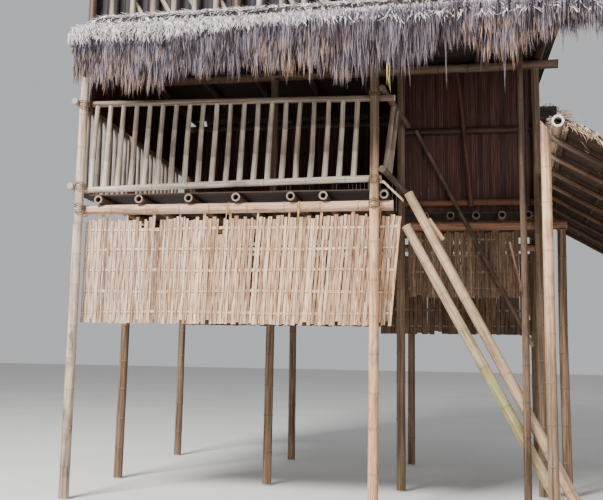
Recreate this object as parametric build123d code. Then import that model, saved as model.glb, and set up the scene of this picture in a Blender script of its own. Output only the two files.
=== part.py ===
from build123d import *
import math
import os

# Bamboo stilt house, full size in millimetres.
# X runs right along the front, Y runs back, Z is up, and the origin is the foot of the front left post.

# Ground plan
FRONT_BAY = 3300
RIGHT_BAY = 1500
BALCONY_DEPTH = 1440
ROOM_DEPTH = 2260
LEFT_BAY = 1900
CORNER_SHIFT = 210
ROOM_BAY = 1610
OUTER_POST_STEP = 280
LEAN_POST_SHIFT = 121
LEAN_FRONT_REACH = 890

# Heights of the floor, the rails and the roof plates
BEAM_Z = 3145
TOP_RAIL_LEFT_Z = 4375
TOP_RAIL_RIGHT_Z = 4312
BOTTOM_RAIL_LEFT_Z = 3366
BOTTOM_RAIL_RIGHT_Z = 3432
SILL_Z = 3430
WALL_RAIL_Z = 4330
PLATE_Z = 5100
LOFT_HEIGHT = 1900
LEAN_TOP_Z = 3650

# Culm diameters
POST_FOOT = 112
POST_TOP = 96
SLIM_POST_FOOT = 80
SLIM_POST_TOP = 58
LEAN_POST_FOOT = 98
LEAN_POST_TOP = 88
BEAM = 115
JOIST = 95
PLATE = 110
LOFT_JOIST = 90
RAIL = 72
BOTTOM_RAIL = 76
BALUSTER_FOOT = 66
BALUSTER_TOP = 52
SILL = 84
STUD = 60
LOFT_POST = 92
LOFT_POLE = 68
SLANT_POLE = 58
RAFTER = 60
PURLIN = 44
RIDGE_POLE = 100
LEAN_PURLIN = 110
LEAN_RAFTER = 56
LEAN_BATTEN = 34
BRACE_FOOT = 118
BRACE_TIP = 98
THIN_BRACE = 46

# A culm is drawn with flat sides: many on what is thick, fewer on what repeats, fewest under the thatch
THICK_SIDES = 16
RAIL_SIDES = 12
SLIM_SIDES = 8

# Bamboo has a hollow core that shows at a sawn end, as deep as the first inner wall
CORE_SHARE = 0.62
CORE_DEPTH = 90

# How far the ends of beams, plates and rails reach past the posts
BEAM_REACH = 75
FRONT_BEAM_REACH = 197
RAIL_LEFT_REACH = 20
TOP_RAIL_REACH = 215
BOTTOM_RAIL_REACH = 70
SIDE_RAIL_REACH = 70
RETURN_REACH = 10
FRAME_REACH = 60
PLATE_REACH = 80

# Floor joists: the places of the long ones, how far behind the posts' line they start, and the short ones
JOIST_X = (210, 689, 1263, 1798, 2403, 2757, 3402)
JOIST_IN = 30
RIGHT_JOIST_REACH = 40
RIGHT_JOIST_START = 290
RIGHT_JOIST_END = 112
RIGHT_JOIST_COUNT = 5

# Railings
BALUSTER_STEP = 157
BALUSTER_LEAN = 42
BALUSTER_MARGIN = 90
RETURN_COUNT = 2
RETURN_FIRST = 150
RETURN_STEP = 200
RETURN_LEAN = 450
RETURN_STACK = 3

# Floors and walls
DECK = 22
DECK_EDGE = 15
WALL = 24
STUD_FEET = (835, 1500)
STUD_HEADS = (690, 1500)
STUD_BELOW = 60
STUD_HEAD_IN = 4

# Hanging screens of split bamboo
SCREEN_HEIGHT = 1150
SHORT_SCREEN_HEIGHT = 760
SCREEN_DROP = 48
SLAT = 62
BACK_SLAT = 124
SLAT_GAP = 9
SLAT_THICKNESS = 6
STRIP = 46
STRIP_THICKNESS = 6
STRIP_ROWS = 5
SHORT_STRIP_ROWS = 4
HANGER_STEP = 7
RAGGED = 16
HEAD_WAVE = 2.3
FOOT_WAVE = 1.7
FRONT_SCREEN_LEFT = 38
FRONT_SCREEN_RIGHT = 287
FRONT_SCREEN_SLIP = 5
FRONT_SCREEN_NARROW = 110
SHORT_SCREEN_LEFT = 80
SHORT_SCREEN_RIGHT = 210
BACK_SCREEN_MARGIN = 60

# Loft
LOFT_JOIST_COUNT = 8
LOFT_JOIST_MARGIN = 140
LOFT_POLE_STEP = 250
RIDGE_POST_IN = 260
SLANT_RUN = 500
SLANT_RISE = 900
SLANT_STEP = 330

# Pent roofs over the front and back of the first floor
PENT_PITCH = 36
PENT_OVERHANG = 880
PENT_THATCH = 150
PENT_LEFT_IN = 240
PENT_PURLIN_REACH = 80
PENT_RIGHT_OUT = 430
PENT_TOP_GAP = 12
PENT_FRAME_GAP = 20
PENT_RAFTER_IN = 150
PENT_PURLINS = (170, 440, 700)
BEARD_DROP = 470
BEARD_THICKNESS = 130

# Gable roof over the loft
TOP_PITCH = 38
TOP_OVERHANG = 560
TOP_THATCH = 190
TOP_BEARD_DROP = 330
TOP_GABLE_OVERHANG = 380
TOP_RAFTER_GAP = 25
TOP_RAFTER_IN = 160
TOP_PURLIN_COUNT = 5
# Thatch lies in courses: about how long one is, and how far it stands above the next
COURSE = 430
COURSE_STEP = 60
# The ridge cap, whose width is also the plain strip of thatch under it
CAP_WIDTH = 430
CAP_THICKNESS = 90
# How full the thatch rounds over an eave, as a share of its thickness
THATCH_ROUND = 1.5

# Lean-to on the right
LEAN_PITCH = 31
LEAN_RUN = 2060
LEAN_THATCH = 70
LEAN_BEARD_DROP = 210
LEAN_BEARD_THICKNESS = 70
LEAN_VERGE = 200
LEAN_LOW_IN = 260
LEAN_RAFTER_STEP = 600
LEAN_RAFTER_SIDE = 110
LEAN_RAFTER_IN = 110
LEAN_INWARD = 48
LEAN_THATCH_GAP = 5
LEAN_BATTEN_COUNT = 5
LEAN_BATTEN_IN = 140
POST_CUT_ANGLE = 32
POST_CUT_ABOVE = 8

# Diagonal props: where each one's head lies right of the front middle post, its height, and how far
# it runs sideways for each unit that it rises
PROP_HEAD_X = (355, 332)
PROP_HEAD_Z = (3266, 2920)
PROP_SLOPE = (0.521, 0.537)
THIN_HEAD_IN = 183
THIN_FOOT_IN = 84
THIN_FOOT_Z = 1700

# Lashed culms rest against each other with this much room
SEAT = 0.2
# Room round a post where it passes through a floor
POST_CLEAR = 8

middle_y = BALCONY_DEPTH
back_y = BALCONY_DEPTH + ROOM_DEPTH
front_x = [0, FRONT_BAY, FRONT_BAY + RIGHT_BAY]
corner_x = FRONT_BAY + CORNER_SHIFT
middle_x = [0, LEFT_BAY, corner_x, corner_x + ROOM_BAY]
outer_x = middle_x[-1] + OUTER_POST_STEP
# The lean-to's front post, the right middle post and the back right corner stand in one line
lean_front = (front_x[2] + LEAN_POST_SHIFT, -LEAN_FRONT_REACH)
lean_spread = (middle_x[-1] - lean_front[0]) / (middle_y + LEAN_FRONT_REACH)
back_right = lean_front[0] + lean_spread * (back_y + LEAN_FRONT_REACH)
back_x = [back_right * i / 3 for i in range(4)]
post_top_z = PLATE_Z - PLATE / 2 - SEAT


def post_radius(z):
    """Radius of a main post at a height: it thins evenly towards its top."""
    return (POST_FOOT + (POST_TOP - POST_FOOT) * z / post_top_z) / 2


def prism(foot, tip, length, sides):
    """A straight many-sided bar that stands at the origin, thinning evenly from foot to tip."""
    narrowing = (foot - tip) / 2 * math.cos(math.pi / sides)
    taper = math.degrees(math.atan(narrowing / length))
    return extrude(RegularPolygon(foot / 2, sides), length, taper=taper)


def culm(start, end, diameter, tip=None, sides=THICK_SIDES, hollow_start=False, hollow_end=False):
    """A bamboo culm between two points, with the hollow core open at the ends that show."""
    start, end = Vector(*start), Vector(*end)
    axis = end - start
    tip = diameter if tip is None else tip
    shape = prism(diameter, tip, axis.length, sides)
    if hollow_start:
        shape -= prism(diameter * CORE_SHARE, diameter * CORE_SHARE, CORE_DEPTH, sides)
    if hollow_end:
        core = prism(tip * CORE_SHARE, tip * CORE_SHARE, CORE_DEPTH, sides)
        shape -= Pos(0, 0, axis.length - CORE_DEPTH) * core
    level = Vector(axis.Y, -axis.X)
    if level.length < SEAT:
        level = Vector(1, 0)
    return Plane(origin=start, x_dir=level, z_dir=axis) * shape


def post(x, y, top=post_top_z):
    """A main post standing on the ground."""
    return culm((x, y, 0), (x, y, top), POST_FOOT, 2 * post_radius(top))


def beside(start, end, offset):
    """Both points moved sideways in plan, to the left of the way from start to end."""
    run = Vector(end[0] - start[0], end[1] - start[1])
    left = Vector(-run.Y, run.X).normalized() * offset
    return [(p[0] + left.X, p[1] + left.Y) for p in (start, end)]


def longer(start, end, at_start, at_end):
    """Both points in plan moved outwards along their own line."""
    run = Vector(end[0] - start[0], end[1] - start[1]).normalized()
    return [
        (start[0] - run.X * at_start, start[1] - run.Y * at_start),
        (end[0] + run.X * at_end, end[1] + run.Y * at_end),
    ]


def between(a, b, share):
    """The point at a share of the way from a to b."""
    return tuple(p + (q - p) * share for p, q in zip(a, b))


def balusters(low_start, low_end, high_start, high_end, first, last, count, lean):
    """Uprights between two rails, each end cut as a saddle that seats on its rail."""
    low_clear = culm(low_start, low_end, BOTTOM_RAIL + 2 * SEAT, sides=RAIL_SIDES)
    high_clear = culm(high_start, high_end, RAIL + 2 * SEAT, sides=RAIL_SIDES)
    length = (Vector(*low_end) - Vector(*low_start)).length
    pieces = []
    for i in range(count):
        place = first + (last - first) * i / max(count - 1, 1)
        foot = between(low_start, low_end, place / length)
        head = between(high_start, high_end, (place + lean) / length)
        upright = culm(foot, head, BALUSTER_FOOT, BALUSTER_TOP, SLIM_SIDES)
        pieces.append(upright - low_clear - high_clear)
    return pieces


def save(name, *solids):
    """Writes one named piece."""
    os.makedirs("parts", exist_ok=True)
    shape = solids[0] if len(solids) == 1 else Compound(children=list(solids))
    export_step(shape, "parts/" + name + ".step")


# Main posts; the front right one is a thinner culm
save("front_left_post", post(front_x[0], 0))
save("front_middle_post", post(front_x[1], 0))
slim_foot, slim_head = (front_x[2], 0, 0), (front_x[2], 0, post_top_z)
save("front_right_post", culm(slim_foot, slim_head, SLIM_POST_FOOT, SLIM_POST_TOP))
save("back_posts", *[post(x, back_y) for x in back_x])

# Floor beams lie against the backs of the front and middle posts, and inside the back posts
beam_offset = post_radius(BEAM_Z) + BEAM / 2 + SEAT
front_beam_y = beam_offset
middle_beam_y = middle_y + beam_offset
back_beam_y = back_y - beam_offset
front_beam_right = FRONT_BAY + FRONT_BEAM_REACH
middle_beam_right = outer_x + BEAM / 2
back_beam_right = back_right + BEAM_REACH


def floor_beam(left, right, y):
    """A floor beam with both ends open."""
    return culm((left, y, BEAM_Z), (right, y, BEAM_Z), BEAM, hollow_start=True, hollow_end=True)


save("front_floor_beam", floor_beam(-BEAM_REACH, front_beam_right, front_beam_y))
save("middle_floor_beam", floor_beam(-BEAM_REACH, middle_beam_right, middle_beam_y))
save("back_floor_beam", floor_beam(-BEAM_REACH, back_beam_right, back_beam_y))
outer_post_top = BEAM_Z - BEAM / 2 - SEAT
outer_post = post(outer_x, middle_beam_y, outer_post_top)
save("middle_posts", *[post(x, middle_y) for x in middle_x], outer_post)

# Joists cross the beams, and their open ends show above the front beam
joist_z = BEAM_Z + BEAM / 2 + SEAT + JOIST / 2
joist_back_end = back_y - post_radius(joist_z) - SEAT - POST_CLEAR


def spaced(first, last, count):
    """Places spread evenly from first to last."""
    return [first + (last - first) * i / (count - 1) for i in range(count)]


right_joist_x = spaced(corner_x + RIGHT_JOIST_START, middle_x[3] - RIGHT_JOIST_END, RIGHT_JOIST_COUNT)


def joist(x, front_end):
    """A floor joist with its front end open."""
    return culm((x, front_end, joist_z), (x, joist_back_end, joist_z), JOIST, hollow_start=True)


front_joists = [joist(x, JOIST_IN) for x in JOIST_X]
right_joists = [joist(x, middle_y - RIGHT_JOIST_REACH) for x in right_joist_x]
save("floor_joists", *front_joists, *right_joists)

# First floor of split bamboo, an L in plan with a hole round each middle post
deck_low = joist_z + JOIST / 2 + SEAT
deck_top = deck_low + DECK
deck_front = post_radius(deck_top) + DECK_EDGE
deck_back = back_y - post_radius(deck_top) - SEAT
deck_left = -POST_FOOT / 4
balcony_right = corner_x - post_radius(deck_top) - DECK_EDGE
room_front = middle_y + post_radius(deck_top) + DECK_EDGE


def slab(x_low, y_low, x_high, y_high, z_low, thickness):
    """A flat slab given by two corners in plan."""
    box = Box(x_high - x_low, y_high - y_low, thickness, align=(Align.MIN, Align.MIN, Align.MIN))
    return Pos(x_low, y_low, z_low) * box


deck_outline = [
    (deck_left, deck_front),
    (balcony_right, deck_front),
    (balcony_right, room_front),
    (middle_x[3] + POST_FOOT / 2, room_front),
    (back_right + POST_FOOT / 2, deck_back),
    (deck_left, deck_back),
]
deck = Pos(0, 0, deck_low) * extrude(make_face(Polyline(*deck_outline, close=True)), DECK)
for x in middle_x[:2]:
    hole = prism(POST_FOOT + 2 * POST_CLEAR, POST_FOOT + 2 * POST_CLEAR, 3 * DECK, THICK_SIDES)
    deck -= Pos(x, middle_y, deck_low - DECK) * hole
save("first_floor_deck", deck)

# Front railing behind the front posts
top_rail_y = post_radius(TOP_RAIL_LEFT_Z) + RAIL / 2 + SEAT
bottom_rail_y = post_radius(BOTTOM_RAIL_LEFT_Z) + BOTTOM_RAIL / 2 + SEAT


def front_rail(left_z, right_z, y, left_reach, right_reach):
    """Axis ends of a front rail, which isn't quite level and reaches past its two posts."""
    slope = (right_z - left_z) / FRONT_BAY
    left = (-left_reach, y, left_z - slope * left_reach)
    right = (FRONT_BAY + right_reach, y, right_z + slope * right_reach)
    return left, right


top_rail = front_rail(TOP_RAIL_LEFT_Z, TOP_RAIL_RIGHT_Z, top_rail_y, RAIL_LEFT_REACH, TOP_RAIL_REACH)
bottom_rail = front_rail(
    BOTTOM_RAIL_LEFT_Z, BOTTOM_RAIL_RIGHT_Z, bottom_rail_y, RAIL_LEFT_REACH, BOTTOM_RAIL_REACH
)
save("front_top_rail", culm(*top_rail, RAIL, sides=RAIL_SIDES, hollow_end=True))
save("front_bottom_rail", culm(*bottom_rail, BOTTOM_RAIL, sides=RAIL_SIDES, hollow_end=True))
baluster_count = int((FRONT_BAY - 2 * BALUSTER_MARGIN) / BALUSTER_STEP) + 1
baluster_last = BALUSTER_MARGIN + (baluster_count - 1) * BALUSTER_STEP
front_balusters = balusters(
    *front_rail(BOTTOM_RAIL_LEFT_Z, BOTTOM_RAIL_RIGHT_Z, bottom_rail_y, 0, 0),
    *front_rail(TOP_RAIL_LEFT_Z, TOP_RAIL_RIGHT_Z, top_rail_y, 0, 0),
    BALUSTER_MARGIN,
    baluster_last,
    baluster_count,
    BALUSTER_LEAN,
)
save("front_balusters", *front_balusters)

# Left railing outside the left posts, from front to back
side_bottom_z = deck_top + BOTTOM_RAIL


def side_rail(start, end, z, diameter, side, reach):
    """Axis ends of a rail that lies against the sides of two posts and reaches past them."""
    offset = side * (post_radius(z) + diameter / 2 + SEAT)
    return [(x, y, z) for x, y in longer(*beside(start, end, offset), reach, reach)]


left_posts = [(front_x[0], 0), (back_x[0], back_y)]
left_low = side_rail(*left_posts, side_bottom_z, BOTTOM_RAIL, 1, SIDE_RAIL_REACH)
left_high = side_rail(*left_posts, TOP_RAIL_LEFT_Z, RAIL, 1, SIDE_RAIL_REACH)
left_length = (Vector(*left_low[1]) - Vector(*left_low[0])).length
side_first = SIDE_RAIL_REACH + BALUSTER_STEP
side_count = int((left_length - 2 * side_first) / BALUSTER_STEP) + 1
left_uprights = balusters(
    *left_low, *left_high, side_first, side_first + (side_count - 1) * BALUSTER_STEP, side_count, 0
)
save(
    "left_railing",
    culm(*left_low, BOTTOM_RAIL, sides=RAIL_SIDES),
    culm(*left_high, RAIL, sides=RAIL_SIDES, hollow_start=True, hollow_end=True),
    *left_uprights,
)

# Railing that returns from the front middle post to the corner of the room, with leaning poles
return_posts = [(front_x[1], 0), (corner_x, middle_y)]
return_low_z = BOTTOM_RAIL_RIGHT_Z + BOTTOM_RAIL + RETURN_STACK
return_high_z = TOP_RAIL_RIGHT_Z + RAIL + RETURN_STACK
return_low = side_rail(*return_posts, return_low_z, BOTTOM_RAIL, -1, RETURN_REACH)
return_high = side_rail(*return_posts, return_high_z, RAIL, -1, RETURN_REACH)
return_last = RETURN_FIRST + (RETURN_COUNT - 1) * RETURN_STEP
return_uprights = balusters(
    *return_low, *return_high, RETURN_FIRST, return_last, RETURN_COUNT, RETURN_LEAN
)
save(
    "return_railing",
    culm(*return_low, BOTTOM_RAIL, sides=RAIL_SIDES),
    culm(*return_high, RAIL, sides=RAIL_SIDES, hollow_start=True),
    *return_uprights,
)

# Roof plates on top of the posts, and the joists and floor of the loft
loft_right = back_right
plate_left = -PLATE_REACH
plate_right = loft_right + PLATE_REACH
loft_joist_z = PLATE_Z + PLATE / 2 + SEAT + LOFT_JOIST / 2
loft_floor_low = loft_joist_z + LOFT_JOIST / 2 + SEAT
loft_floor_top = loft_floor_low + DECK


def plate(y, z):
    """A pole that lies along the house on top of a row of posts."""
    return culm((plate_left, y, z), (plate_right, y, z), PLATE, hollow_start=True, hollow_end=True)


loft_joist_reach = PLATE / 2
loft_joist_x = spaced(LOFT_JOIST_MARGIN, loft_right - LOFT_JOIST_MARGIN, LOFT_JOIST_COUNT)
loft_joists = []
for x in loft_joist_x:
    near = (x, -loft_joist_reach, loft_joist_z)
    far = (x, back_y + loft_joist_reach, loft_joist_z)
    loft_joists.append(culm(near, far, LOFT_JOIST))
save("loft_joists", *loft_joists)
loft_edge = LOFT_POST / 2
loft_floor = slab(-loft_edge, -loft_edge, loft_right, back_y + loft_edge, loft_floor_low, DECK)
save("loft_floor", loft_floor)

# Loft posts, top plates, and the mat walls between them
top_plate_z = loft_floor_top + LOFT_HEIGHT + PLATE / 2
loft_post_top = top_plate_z - PLATE / 2 - SEAT
loft_x = [loft_right * i / 3 for i in range(4)]
loft_x = [LOFT_POST / 2] + loft_x[1:3] + [loft_right - LOFT_POST]
pole_low = loft_floor_top + SEAT
loft_posts = []
for y in (0, back_y):
    for x in loft_x:
        loft_posts.append(culm((x, y, pole_low), (x, y, loft_post_top), LOFT_POST))
lower_plates = [plate(y, PLATE_Z) for y in (0, middle_y, back_y)]
top_plates = [plate(y, top_plate_z) for y in (0, back_y)]
save("roof_plates", *lower_plates, *top_plates)
mat_offset = LOFT_POST / 2 + SEAT
upright_y = LOFT_POLE / 2 - LOFT_POST / 2
slant_y = upright_y + LOFT_POLE / 2 + SLANT_POLE / 2 + SEAT
front_mat_y = slant_y + SLANT_POLE / 2 + SEAT


def wall_x(x_low, x_high, y_low, z_low, z_high):
    """A mat wall that runs along X."""
    return slab(x_low, y_low, x_high, y_low + WALL, z_low, z_high - z_low)


save("loft_front_wall", wall_x(loft_x[0], loft_x[-1], front_mat_y, pole_low, loft_post_top))
back_mat_y = back_y - mat_offset - WALL
back_mat = wall_x(loft_x[0], loft_x[-1], back_mat_y, pole_low, loft_post_top)
side_mat_front = front_mat_y + WALL + SEAT
side_mat_back = back_mat_y - SEAT
side_mat_x = [loft_x[0] - WALL / 2, loft_x[-1] - WALL / 2]
side_mats = [
    slab(x, side_mat_front, x + WALL, side_mat_back, pole_low, loft_post_top - pole_low)
    for x in side_mat_x
]
save("loft_mat_walls", back_mat, *side_mats)

# Poles outside the loft's front wall: uprights between the posts, and short slanting poles behind them
loft_uprights = []
slanting = []
for left, right in zip(loft_x, loft_x[1:]):
    count = round((right - left) / LOFT_POLE_STEP)
    step = (right - left) / count
    for i in range(1, count):
        x = left + i * step
        foot = (x, upright_y, pole_low)
        head = (x, upright_y, loft_post_top)
        loft_uprights.append(culm(foot, head, LOFT_POLE, sides=RAIL_SIDES))
    foot_x = right - LOFT_POST
    while foot_x - SLANT_RUN > left + LOFT_POST:
        foot = (foot_x, slant_y, pole_low + SLANT_POLE / 2)
        head = (foot_x - SLANT_RUN, slant_y, pole_low + SLANT_RISE)
        slanting.append(culm(foot, head, SLANT_POLE, sides=SLIM_SIDES))
        foot_x -= SLANT_STEP
save("loft_front_poles", *loft_uprights, *slanting)

# Roof pieces. A roof slope is laid out from a support pole that runs along X: side is -1 for a slope
# that falls to the front and 1 for one that falls to the back, and out is how far a point lies outside it.


class Slope:
    """Lays out one thatched slope above a support pole, from the rafters up."""

    def __init__(self, side, support_y, support_z, pitch, support, rafter, purlin, under=False):
        self.side = side
        self.y = support_y
        self.z = support_z
        self.tan = math.tan(math.radians(pitch))
        self.cos = math.cos(math.radians(pitch))
        self.rafter = rafter
        self.purlin = purlin
        self.bed = -support / 2 - SEAT - rafter if under else support / 2 + SEAT

    def height(self, out, lift):
        """Height of a line that runs parallel to the slope, lift above the support pole's axis."""
        return self.z + lift / self.cos - out * self.tan

    def pole(self, x, out_low, out_high):
        """A rafter that rests on the support pole, or is tied under it."""
        lift = self.bed + self.rafter / 2
        inner = (x, self.y + self.side * out_low, self.height(out_low, lift))
        outer = (x, self.y + self.side * out_high, self.height(out_high, lift))
        return culm(inner, outer, self.rafter, sides=SLIM_SIDES)

    def purlins(self, places, x_low, x_high):
        """Thin poles laid across the rafters."""
        lift = self.bed + self.rafter + self.purlin / 2 + SEAT
        poles = []
        for out in places:
            y = self.y + self.side * out
            z = self.height(out, lift)
            poles.append(culm((x_low, y, z), (x_high, y, z), self.purlin, sides=SLIM_SIDES))
        return poles

    def thatch(self, out_low, out_high, thickness, drop, beard, x_low, x_high, flat=0, step=0):
        """Thatch on the purlins, in courses, with the thick beard of straw that hangs at the eave."""
        lift = self.bed + self.rafter + self.purlin + 2 * SEAT
        bend = out_high - beard
        nose_z = self.height(out_high, lift + thickness) - thickness / 2
        tip_z = nose_z - drop
        outline = [
            (bend, self.height(bend, lift + thickness)),
            (out_high, nose_z),
            (out_high - beard / 4, tip_z),
            (out_high - beard * 3 / 4, tip_z + beard / 3),
            (bend, self.height(bend, lift)),
            (out_low, self.height(out_low, lift)),
            (out_low, self.height(out_low, lift + thickness)),
        ]
        start = out_low + flat
        count = round((bend - start) / COURSE) if step else 0
        for i in range(count):
            near = start + (bend - start) * i / count
            if near > out_low:
                outline.append((near, self.height(near, lift + thickness)))
            outline.append((near, self.height(near, lift + thickness - step)))
        points = [(self.side * out, z) for out, z in outline]
        edges = [RadiusArc(points[0], points[1], self.side * thickness * THATCH_ROUND)]
        edges += [Line(a, b) for a, b in zip(points[1:], points[2:] + points[:1])]
        profile = make_face(edges)
        frame = Plane(origin=(x_low, self.y, 0), x_dir=(0, 1, 0), z_dir=(1, 0, 0))
        return frame * extrude(profile, x_high - x_low)


# Pent roofs over the front and the back of the first floor, with a rafter lashed beside each loft joist
pent_inner = loft_edge + PENT_TOP_GAP
rafter_x = [x + LOFT_JOIST / 2 + RAFTER / 2 + SEAT for x in loft_joist_x[:-1]]
pent_ends = (PENT_LEFT_IN, loft_right + PENT_RIGHT_OUT)
pent_frame = []
for name, side, row in (("front_pent", -1, 0), ("back_pent", 1, back_y)):
    pent = Slope(side, row, PLATE_Z, PENT_PITCH, PLATE, RAFTER, PURLIN)
    pent_frame += [pent.pole(x, PENT_FRAME_GAP, PENT_OVERHANG - PENT_RAFTER_IN) for x in rafter_x]
    pent_frame += pent.purlins(PENT_PURLINS, pent_ends[0] - PENT_PURLIN_REACH, pent_ends[1])
    thatch = pent.thatch(
        pent_inner, PENT_OVERHANG, PENT_THATCH, BEARD_DROP, BEARD_THICKNESS, *pent_ends, step=COURSE_STEP
    )
    save(name + "_thatch", thatch)
save("pent_rafters", *pent_frame)

# Gable roof over the loft
top_left = -TOP_GABLE_OVERHANG
top_right = loft_right + TOP_GABLE_OVERHANG
half_span = back_y / 2
top_frame = []
for name, side, row in (("top_front", -1, 0), ("top_back", 1, back_y)):
    slope = Slope(side, row, top_plate_z, TOP_PITCH, PLATE, RAFTER, PURLIN)
    top_frame += [
        slope.pole(x, TOP_RAFTER_GAP - half_span, TOP_OVERHANG - TOP_RAFTER_IN) for x in rafter_x
    ]
    places = spaced(TOP_RAFTER_IN - half_span, TOP_OVERHANG - TOP_RAFTER_IN, TOP_PURLIN_COUNT)
    top_frame += slope.purlins(places, top_left, top_right)
    thatch = slope.thatch(
        SEAT / 2 - half_span,
        TOP_OVERHANG,
        TOP_THATCH,
        TOP_BEARD_DROP,
        BEARD_THICKNESS,
        top_left,
        top_right,
        CAP_WIDTH,
        COURSE_STEP,
    )
    save(name + "_thatch", thatch)
save("top_rafters", *top_frame)

# Ridge pole under the rafters, the posts that carry it and the cap of thatch over the ridge
ridge_z = slope.height(-half_span, PLATE / 2 + SEAT + RAFTER / 2) - (
    RIDGE_POLE / 2 + SEAT + RAFTER / 2
) / slope.cos
ridge_ends = [(x, half_span, ridge_z) for x in (top_left + PLATE, top_right - PLATE)]
save("ridge_pole", culm(*ridge_ends, RIDGE_POLE, hollow_start=True, hollow_end=True))
ridge_post_x = [RIDGE_POST_IN, loft_right / 2, loft_right - RIDGE_POST_IN]
ridge_post_top = ridge_z - RIDGE_POLE / 2 - SEAT
ridge_posts = [
    culm((x, half_span, pole_low), (x, half_span, ridge_post_top), LOFT_POST) for x in ridge_post_x
]
save("loft_posts", *loft_posts, *ridge_posts)
cap_lift = PLATE / 2 + RAFTER + PURLIN + TOP_THATCH + 4 * SEAT
cap_peak = slope.height(-half_span, cap_lift)
cap_foot = cap_peak - CAP_WIDTH * slope.tan
cap_outline = [
    (-CAP_WIDTH, cap_foot),
    (0, cap_peak),
    (CAP_WIDTH, cap_foot),
    (CAP_WIDTH, cap_foot + CAP_THICKNESS),
    (0, cap_peak + CAP_THICKNESS / slope.cos),
    (-CAP_WIDTH, cap_foot + CAP_THICKNESS),
]
cap_frame = Plane(origin=(top_left, half_span, 0), x_dir=(0, 1, 0), z_dir=(1, 0, 0))
cap_profile = make_face(Polyline(*cap_outline, close=True))
save("ridge_cap", cap_frame * extrude(cap_profile, top_right - top_left))

# Mats that close the two gables, from the top plates up to the rafters
gable_low = loft_post_top + SEAT
gable_peak = ridge_z - RIDGE_POLE / 2 - SEAT
gable_out = min((gable_peak - gable_low) / slope.tan, half_span - PLATE / 2 - SEAT)
gable_outline = [(-gable_out, gable_low), (gable_out, gable_low), (0, gable_peak)]
gables = []
for x in side_mat_x:
    gable_frame = Plane(origin=(x, half_span, 0), x_dir=(0, 1, 0), z_dir=(1, 0, 0))
    gables.append(gable_frame * extrude(make_face(Polyline(*gable_outline, close=True)), WALL))
save("gable_mats", *gables)

# Lean-to on the right, laid out in its own frame: out from the house, and forwards from the back corner
lean_back = (back_right, back_y)
lean_offset = post_radius(LEAN_TOP_Z) + LEAN_PURLIN / 2 + SEAT
lean_origin, lean_far = beside(lean_back, lean_front, lean_offset)
lean_length = (Vector(*lean_far) - Vector(*lean_origin)).length
lean_run = (Vector(*lean_far) - Vector(*lean_origin)).normalized()
lean_frame = Plane(origin=(*lean_origin, 0), x_dir=(lean_run.X, lean_run.Y, 0), z_dir=(0, 0, 1))
lean = Slope(1, 0, LEAN_TOP_Z, LEAN_PITCH, LEAN_PURLIN, LEAN_RAFTER, LEAN_BATTEN, under=True)
low_out = LEAN_RUN - LEAN_LOW_IN
low_z = lean.height(low_out, lean.bed - SEAT - LEAN_PURLIN / 2)
lean_high_pole = culm(
    (-LEAN_VERGE, 0, LEAN_TOP_Z),
    (lean_length + LEAN_VERGE, 0, LEAN_TOP_Z),
    LEAN_PURLIN,
    hollow_start=True,
    hollow_end=True,
)
lean_low_pole = culm(
    (-LEAN_VERGE, low_out, low_z),
    (lean_length + LEAN_VERGE, low_out, low_z),
    LEAN_PURLIN,
    hollow_start=True,
    hollow_end=True,
)
save("lean_to_poles", lean_frame * lean_high_pole, lean_frame * lean_low_pole)
lean_rafter_last = lean_length - LEAN_RAFTER_SIDE
lean_rafter_count = int((lean_rafter_last - LEAN_RAFTER_SIDE) / LEAN_RAFTER_STEP) + 1
lean_rafters = [
    lean_frame * lean.pole(along, -LEAN_INWARD, LEAN_RUN - LEAN_RAFTER_IN)
    for along in spaced(LEAN_RAFTER_SIDE, lean_rafter_last, lean_rafter_count)
]
batten_places = spaced(LEAN_BATTEN_IN / 2, LEAN_RUN - LEAN_BATTEN_IN * 3 / 2, LEAN_BATTEN_COUNT)
battens = lean.purlins(batten_places, -LEAN_VERGE, lean_length + LEAN_VERGE)
save("lean_to_rafters", *lean_rafters, *[lean_frame * b for b in battens])
lean_thatch = lean.thatch(
    LEAN_PURLIN / 2 + LEAN_THATCH_GAP,
    LEAN_RUN,
    LEAN_THATCH,
    LEAN_BEARD_DROP,
    LEAN_BEARD_THICKNESS,
    -LEAN_VERGE,
    lean_length + LEAN_VERGE,
)
save("lean_to_thatch", lean_frame * lean_thatch)

# The lean-to's front post ends in a slanting cut, and three posts carry its low edge
lean_post_top = LEAN_TOP_Z + LEAN_POST_TOP
lean_post_share = LEAN_TOP_Z / lean_post_top
lean_post_radius = (LEAN_POST_FOOT + (LEAN_POST_TOP - LEAN_POST_FOOT) * lean_post_share) / 2
lean_post_out = post_radius(LEAN_TOP_Z) - lean_post_radius
lean_foot = beside(lean_back, lean_front, lean_post_out)[1]
front_post = culm((*lean_foot, 0), (*lean_foot, lean_post_top), LEAN_POST_FOOT, LEAN_POST_TOP)
cut_edge = Pos(lean_foot[0] + lean_post_radius, lean_foot[1], LEAN_TOP_Z + POST_CUT_ABOVE)
cut = Box(POST_FOOT * 4, POST_FOOT * 4, POST_FOOT, align=(Align.CENTER, Align.CENTER, Align.MIN))
save("lean_to_front_post", front_post - cut_edge * Rot(0, POST_CUT_ANGLE, 0) * cut)
low_post_top = low_z - LEAN_PURLIN / 2 - SEAT
low_posts = []
for along in (0, lean_length / 2, lean_length):
    foot = lean_frame.from_local_coords(Vector(along, low_out, 0))
    low_posts.append(post(foot.X, foot.Y, low_post_top))
save("lean_to_low_posts", *low_posts)

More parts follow.
